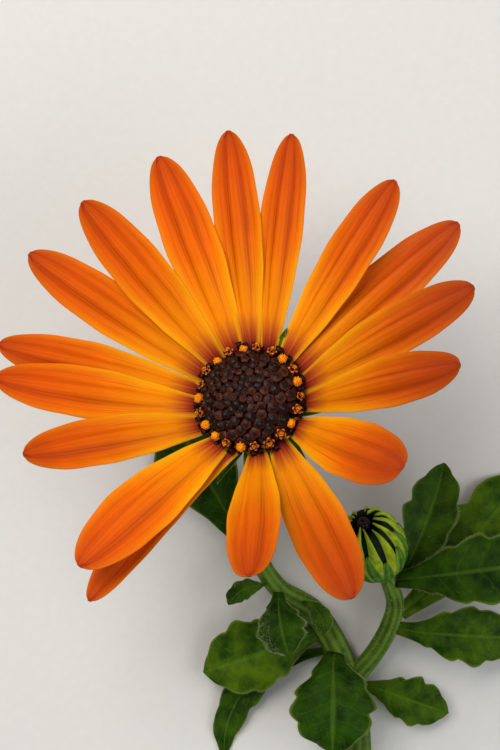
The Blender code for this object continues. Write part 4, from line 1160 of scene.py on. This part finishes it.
class OsteospermumGreenLook(bpy.types.PropertyGroup):
    hair: measure("Hair length", "Length of a hair on stems and margins", 0.32, 2.0)
    hair_thickness: measure("Hair thickness", "Radius of a hair, drawn coarse enough to show", 0.02, 0.2)
    stem_hairs: IntProperty(name="Stem hairs", description="Hairs for each sixty rings of stem", default=700,
                            min=0, max=5000)
    stem_dark: tint("Stem groove", "of the stem's grooves", "2c480a")
    stem: tint("Stem", "of the stem", "4c6c18")
    pith: tint("Pith", "of the cut face", "c9cf9a")
    bract_dark: tint("Bract shade", "in the bracts' darker parts", "24480a")
    bract: tint("Bract", "of the bracts", "40700e")
    bract_rim: tint("Pale rim", "of bract margins and stem ribs", "94aa46")
    bud_dark: tint("Bud bract shade", "in the bud bracts' darker parts", "667c04")
    bud: tint("Bud bract", "of the bud's bracts", "a8b606")
    # Painted shade: the bud body's colours stand for the shade between its bracts.
    shade_dark: tint("Bud body shade", "deep between the bud's bracts", "0b1404")
    shade: tint("Bud body", "between the bud's bracts", "182808")
    leaf_dark: tint("Leaf shade", "in the leaves' darker parts", "0b2200")
    leaf: tint("Leaf", "of the leaves", "1f4402")
    leaf_yellow: tint("Young leaf", "of the yellower leaves", "627c06")
    leaf_vein: tint("Leaf vein", "of the midrib and veins", "52721a")
    leaf_rim: tint("Leaf rim", "of the leaf's margin", "7e8c34")
    leaf_back: tint("Leaf back", "that the under side is paled with", "5c7434")


class OsteospermumStageLook(bpy.types.PropertyGroup):
    floor: tint("Floor", "of the floor", "d6d4ce")
    key: FloatProperty(name="Key light", description="Power of the main light", default=1.9, min=0.0,
                       unit="POWER")
    fill: FloatProperty(name="Fill light", description="Power of the second light", default=0.7, min=0.0,
                        unit="POWER")
    sky: FloatProperty(name="Sky", description="Strength of the even light from all round", default=0.34,
                       min=0.0)


class BuildRayPetals(bpy.types.Operator):
    """Build the ray petals and the ring they grow from"""
    bl_idname = "osteospermum.ray_petals"
    bl_label = "Ray petals"

    def execute(self, context):
        ray_petals(context.scene.osteospermum_petals)
        return {"FINISHED"}


class BuildDisc(bpy.types.Operator):
    """Build the disc with its closed and open florets"""
    bl_idname = "osteospermum.disc"
    bl_label = "Disc florets"

    def execute(self, context):
        disc(context.scene.osteospermum_disc)
        return {"FINISHED"}


class BuildInvolucre(bpy.types.Operator):
    """Build the cup and bracts under the petals"""
    bl_idname = "osteospermum.involucre"
    bl_label = "Involucre"

    def execute(self, context):
        involucre(context.scene.osteospermum_greens)
        return {"FINISHED"}


class BuildBud(bpy.types.Operator):
    """Build the bud's bracts and its rolled petals"""
    bl_idname = "osteospermum.bud"
    bl_label = "Bud"

    def execute(self, context):
        bud(context.scene.osteospermum_greens, context.scene.osteospermum_disc)
        return {"FINISHED"}


class BuildStems(bpy.types.Operator):
    """Build the main stem, the flower stalk and the side shoot"""
    bl_idname = "osteospermum.stems"
    bl_label = "Stems"

    def execute(self, context):
        stems(context.scene.osteospermum_greens)
        return {"FINISHED"}


class BuildLeaves(bpy.types.Operator):
    """Build every leaf, each as a piece of its own"""
    bl_idname = "osteospermum.leaves"
    bl_label = "Leaves"

    def execute(self, context):
        look = context.scene.osteospermum_greens
        materials = [leaf_material(look), hair_material()]
        rng = np.random.default_rng(SEEDS["leaves"])
        for name in LEAVES:
            leaf(name, look, materials, rng)
        return {"FINISHED"}


class BuildStage(bpy.types.Operator):
    """Set up the floor, the lights and the camera"""
    bl_idname = "osteospermum.stage"
    bl_label = "Stage"

    def execute(self, context):
        stage(context.scene.osteospermum_stage)
        return {"FINISHED"}


BUILDERS = (BuildStage, BuildStems, BuildLeaves, BuildInvolucre, BuildRayPetals, BuildDisc, BuildBud)
LOOKS = {
    "osteospermum_petals": OsteospermumPetalLook,
    "osteospermum_disc": OsteospermumDiscLook,
    "osteospermum_greens": OsteospermumGreenLook,
    "osteospermum_stage": OsteospermumStageLook,
}


class OsteospermumPanel(bpy.types.Panel):
    """Lists the builders and the looks that they read"""
    bl_idname = "VIEW3D_PT_osteospermum"
    bl_label = "Osteospermum"
    bl_space_type = "VIEW_3D"
    bl_region_type = "UI"
    bl_category = "Osteospermum"

    def draw(self, context):
        for builder in BUILDERS:
            self.layout.operator(builder.bl_idname)
        for group in LOOKS:
            box = self.layout.box()
            for key in LOOKS[group].__annotations__:
                box.prop(getattr(context.scene, group), key)


def register():
    """Adds the looks, the builders and the panel."""
    for look in LOOKS.values():
        bpy.utils.register_class(look)
    for name, look in LOOKS.items():
        setattr(bpy.types.Scene, name, PointerProperty(type=look))
    for builder in (*BUILDERS, OsteospermumPanel):
        bpy.utils.register_class(builder)


def unregister():
    """Takes them away again, in the opposite order."""
    for builder in (OsteospermumPanel, *reversed(BUILDERS)):
        bpy.utils.unregister_class(builder)
    for name, look in LOOKS.items():
        delattr(bpy.types.Scene, name)
        bpy.utils.unregister_class(look)


def main():
    """Builds the stage and every piece."""
    register()
    for builder in BUILDERS:
        group, name = builder.bl_idname.split(".")
        getattr(getattr(bpy.ops, group), name)()


if __name__ == "__main__":
    main()
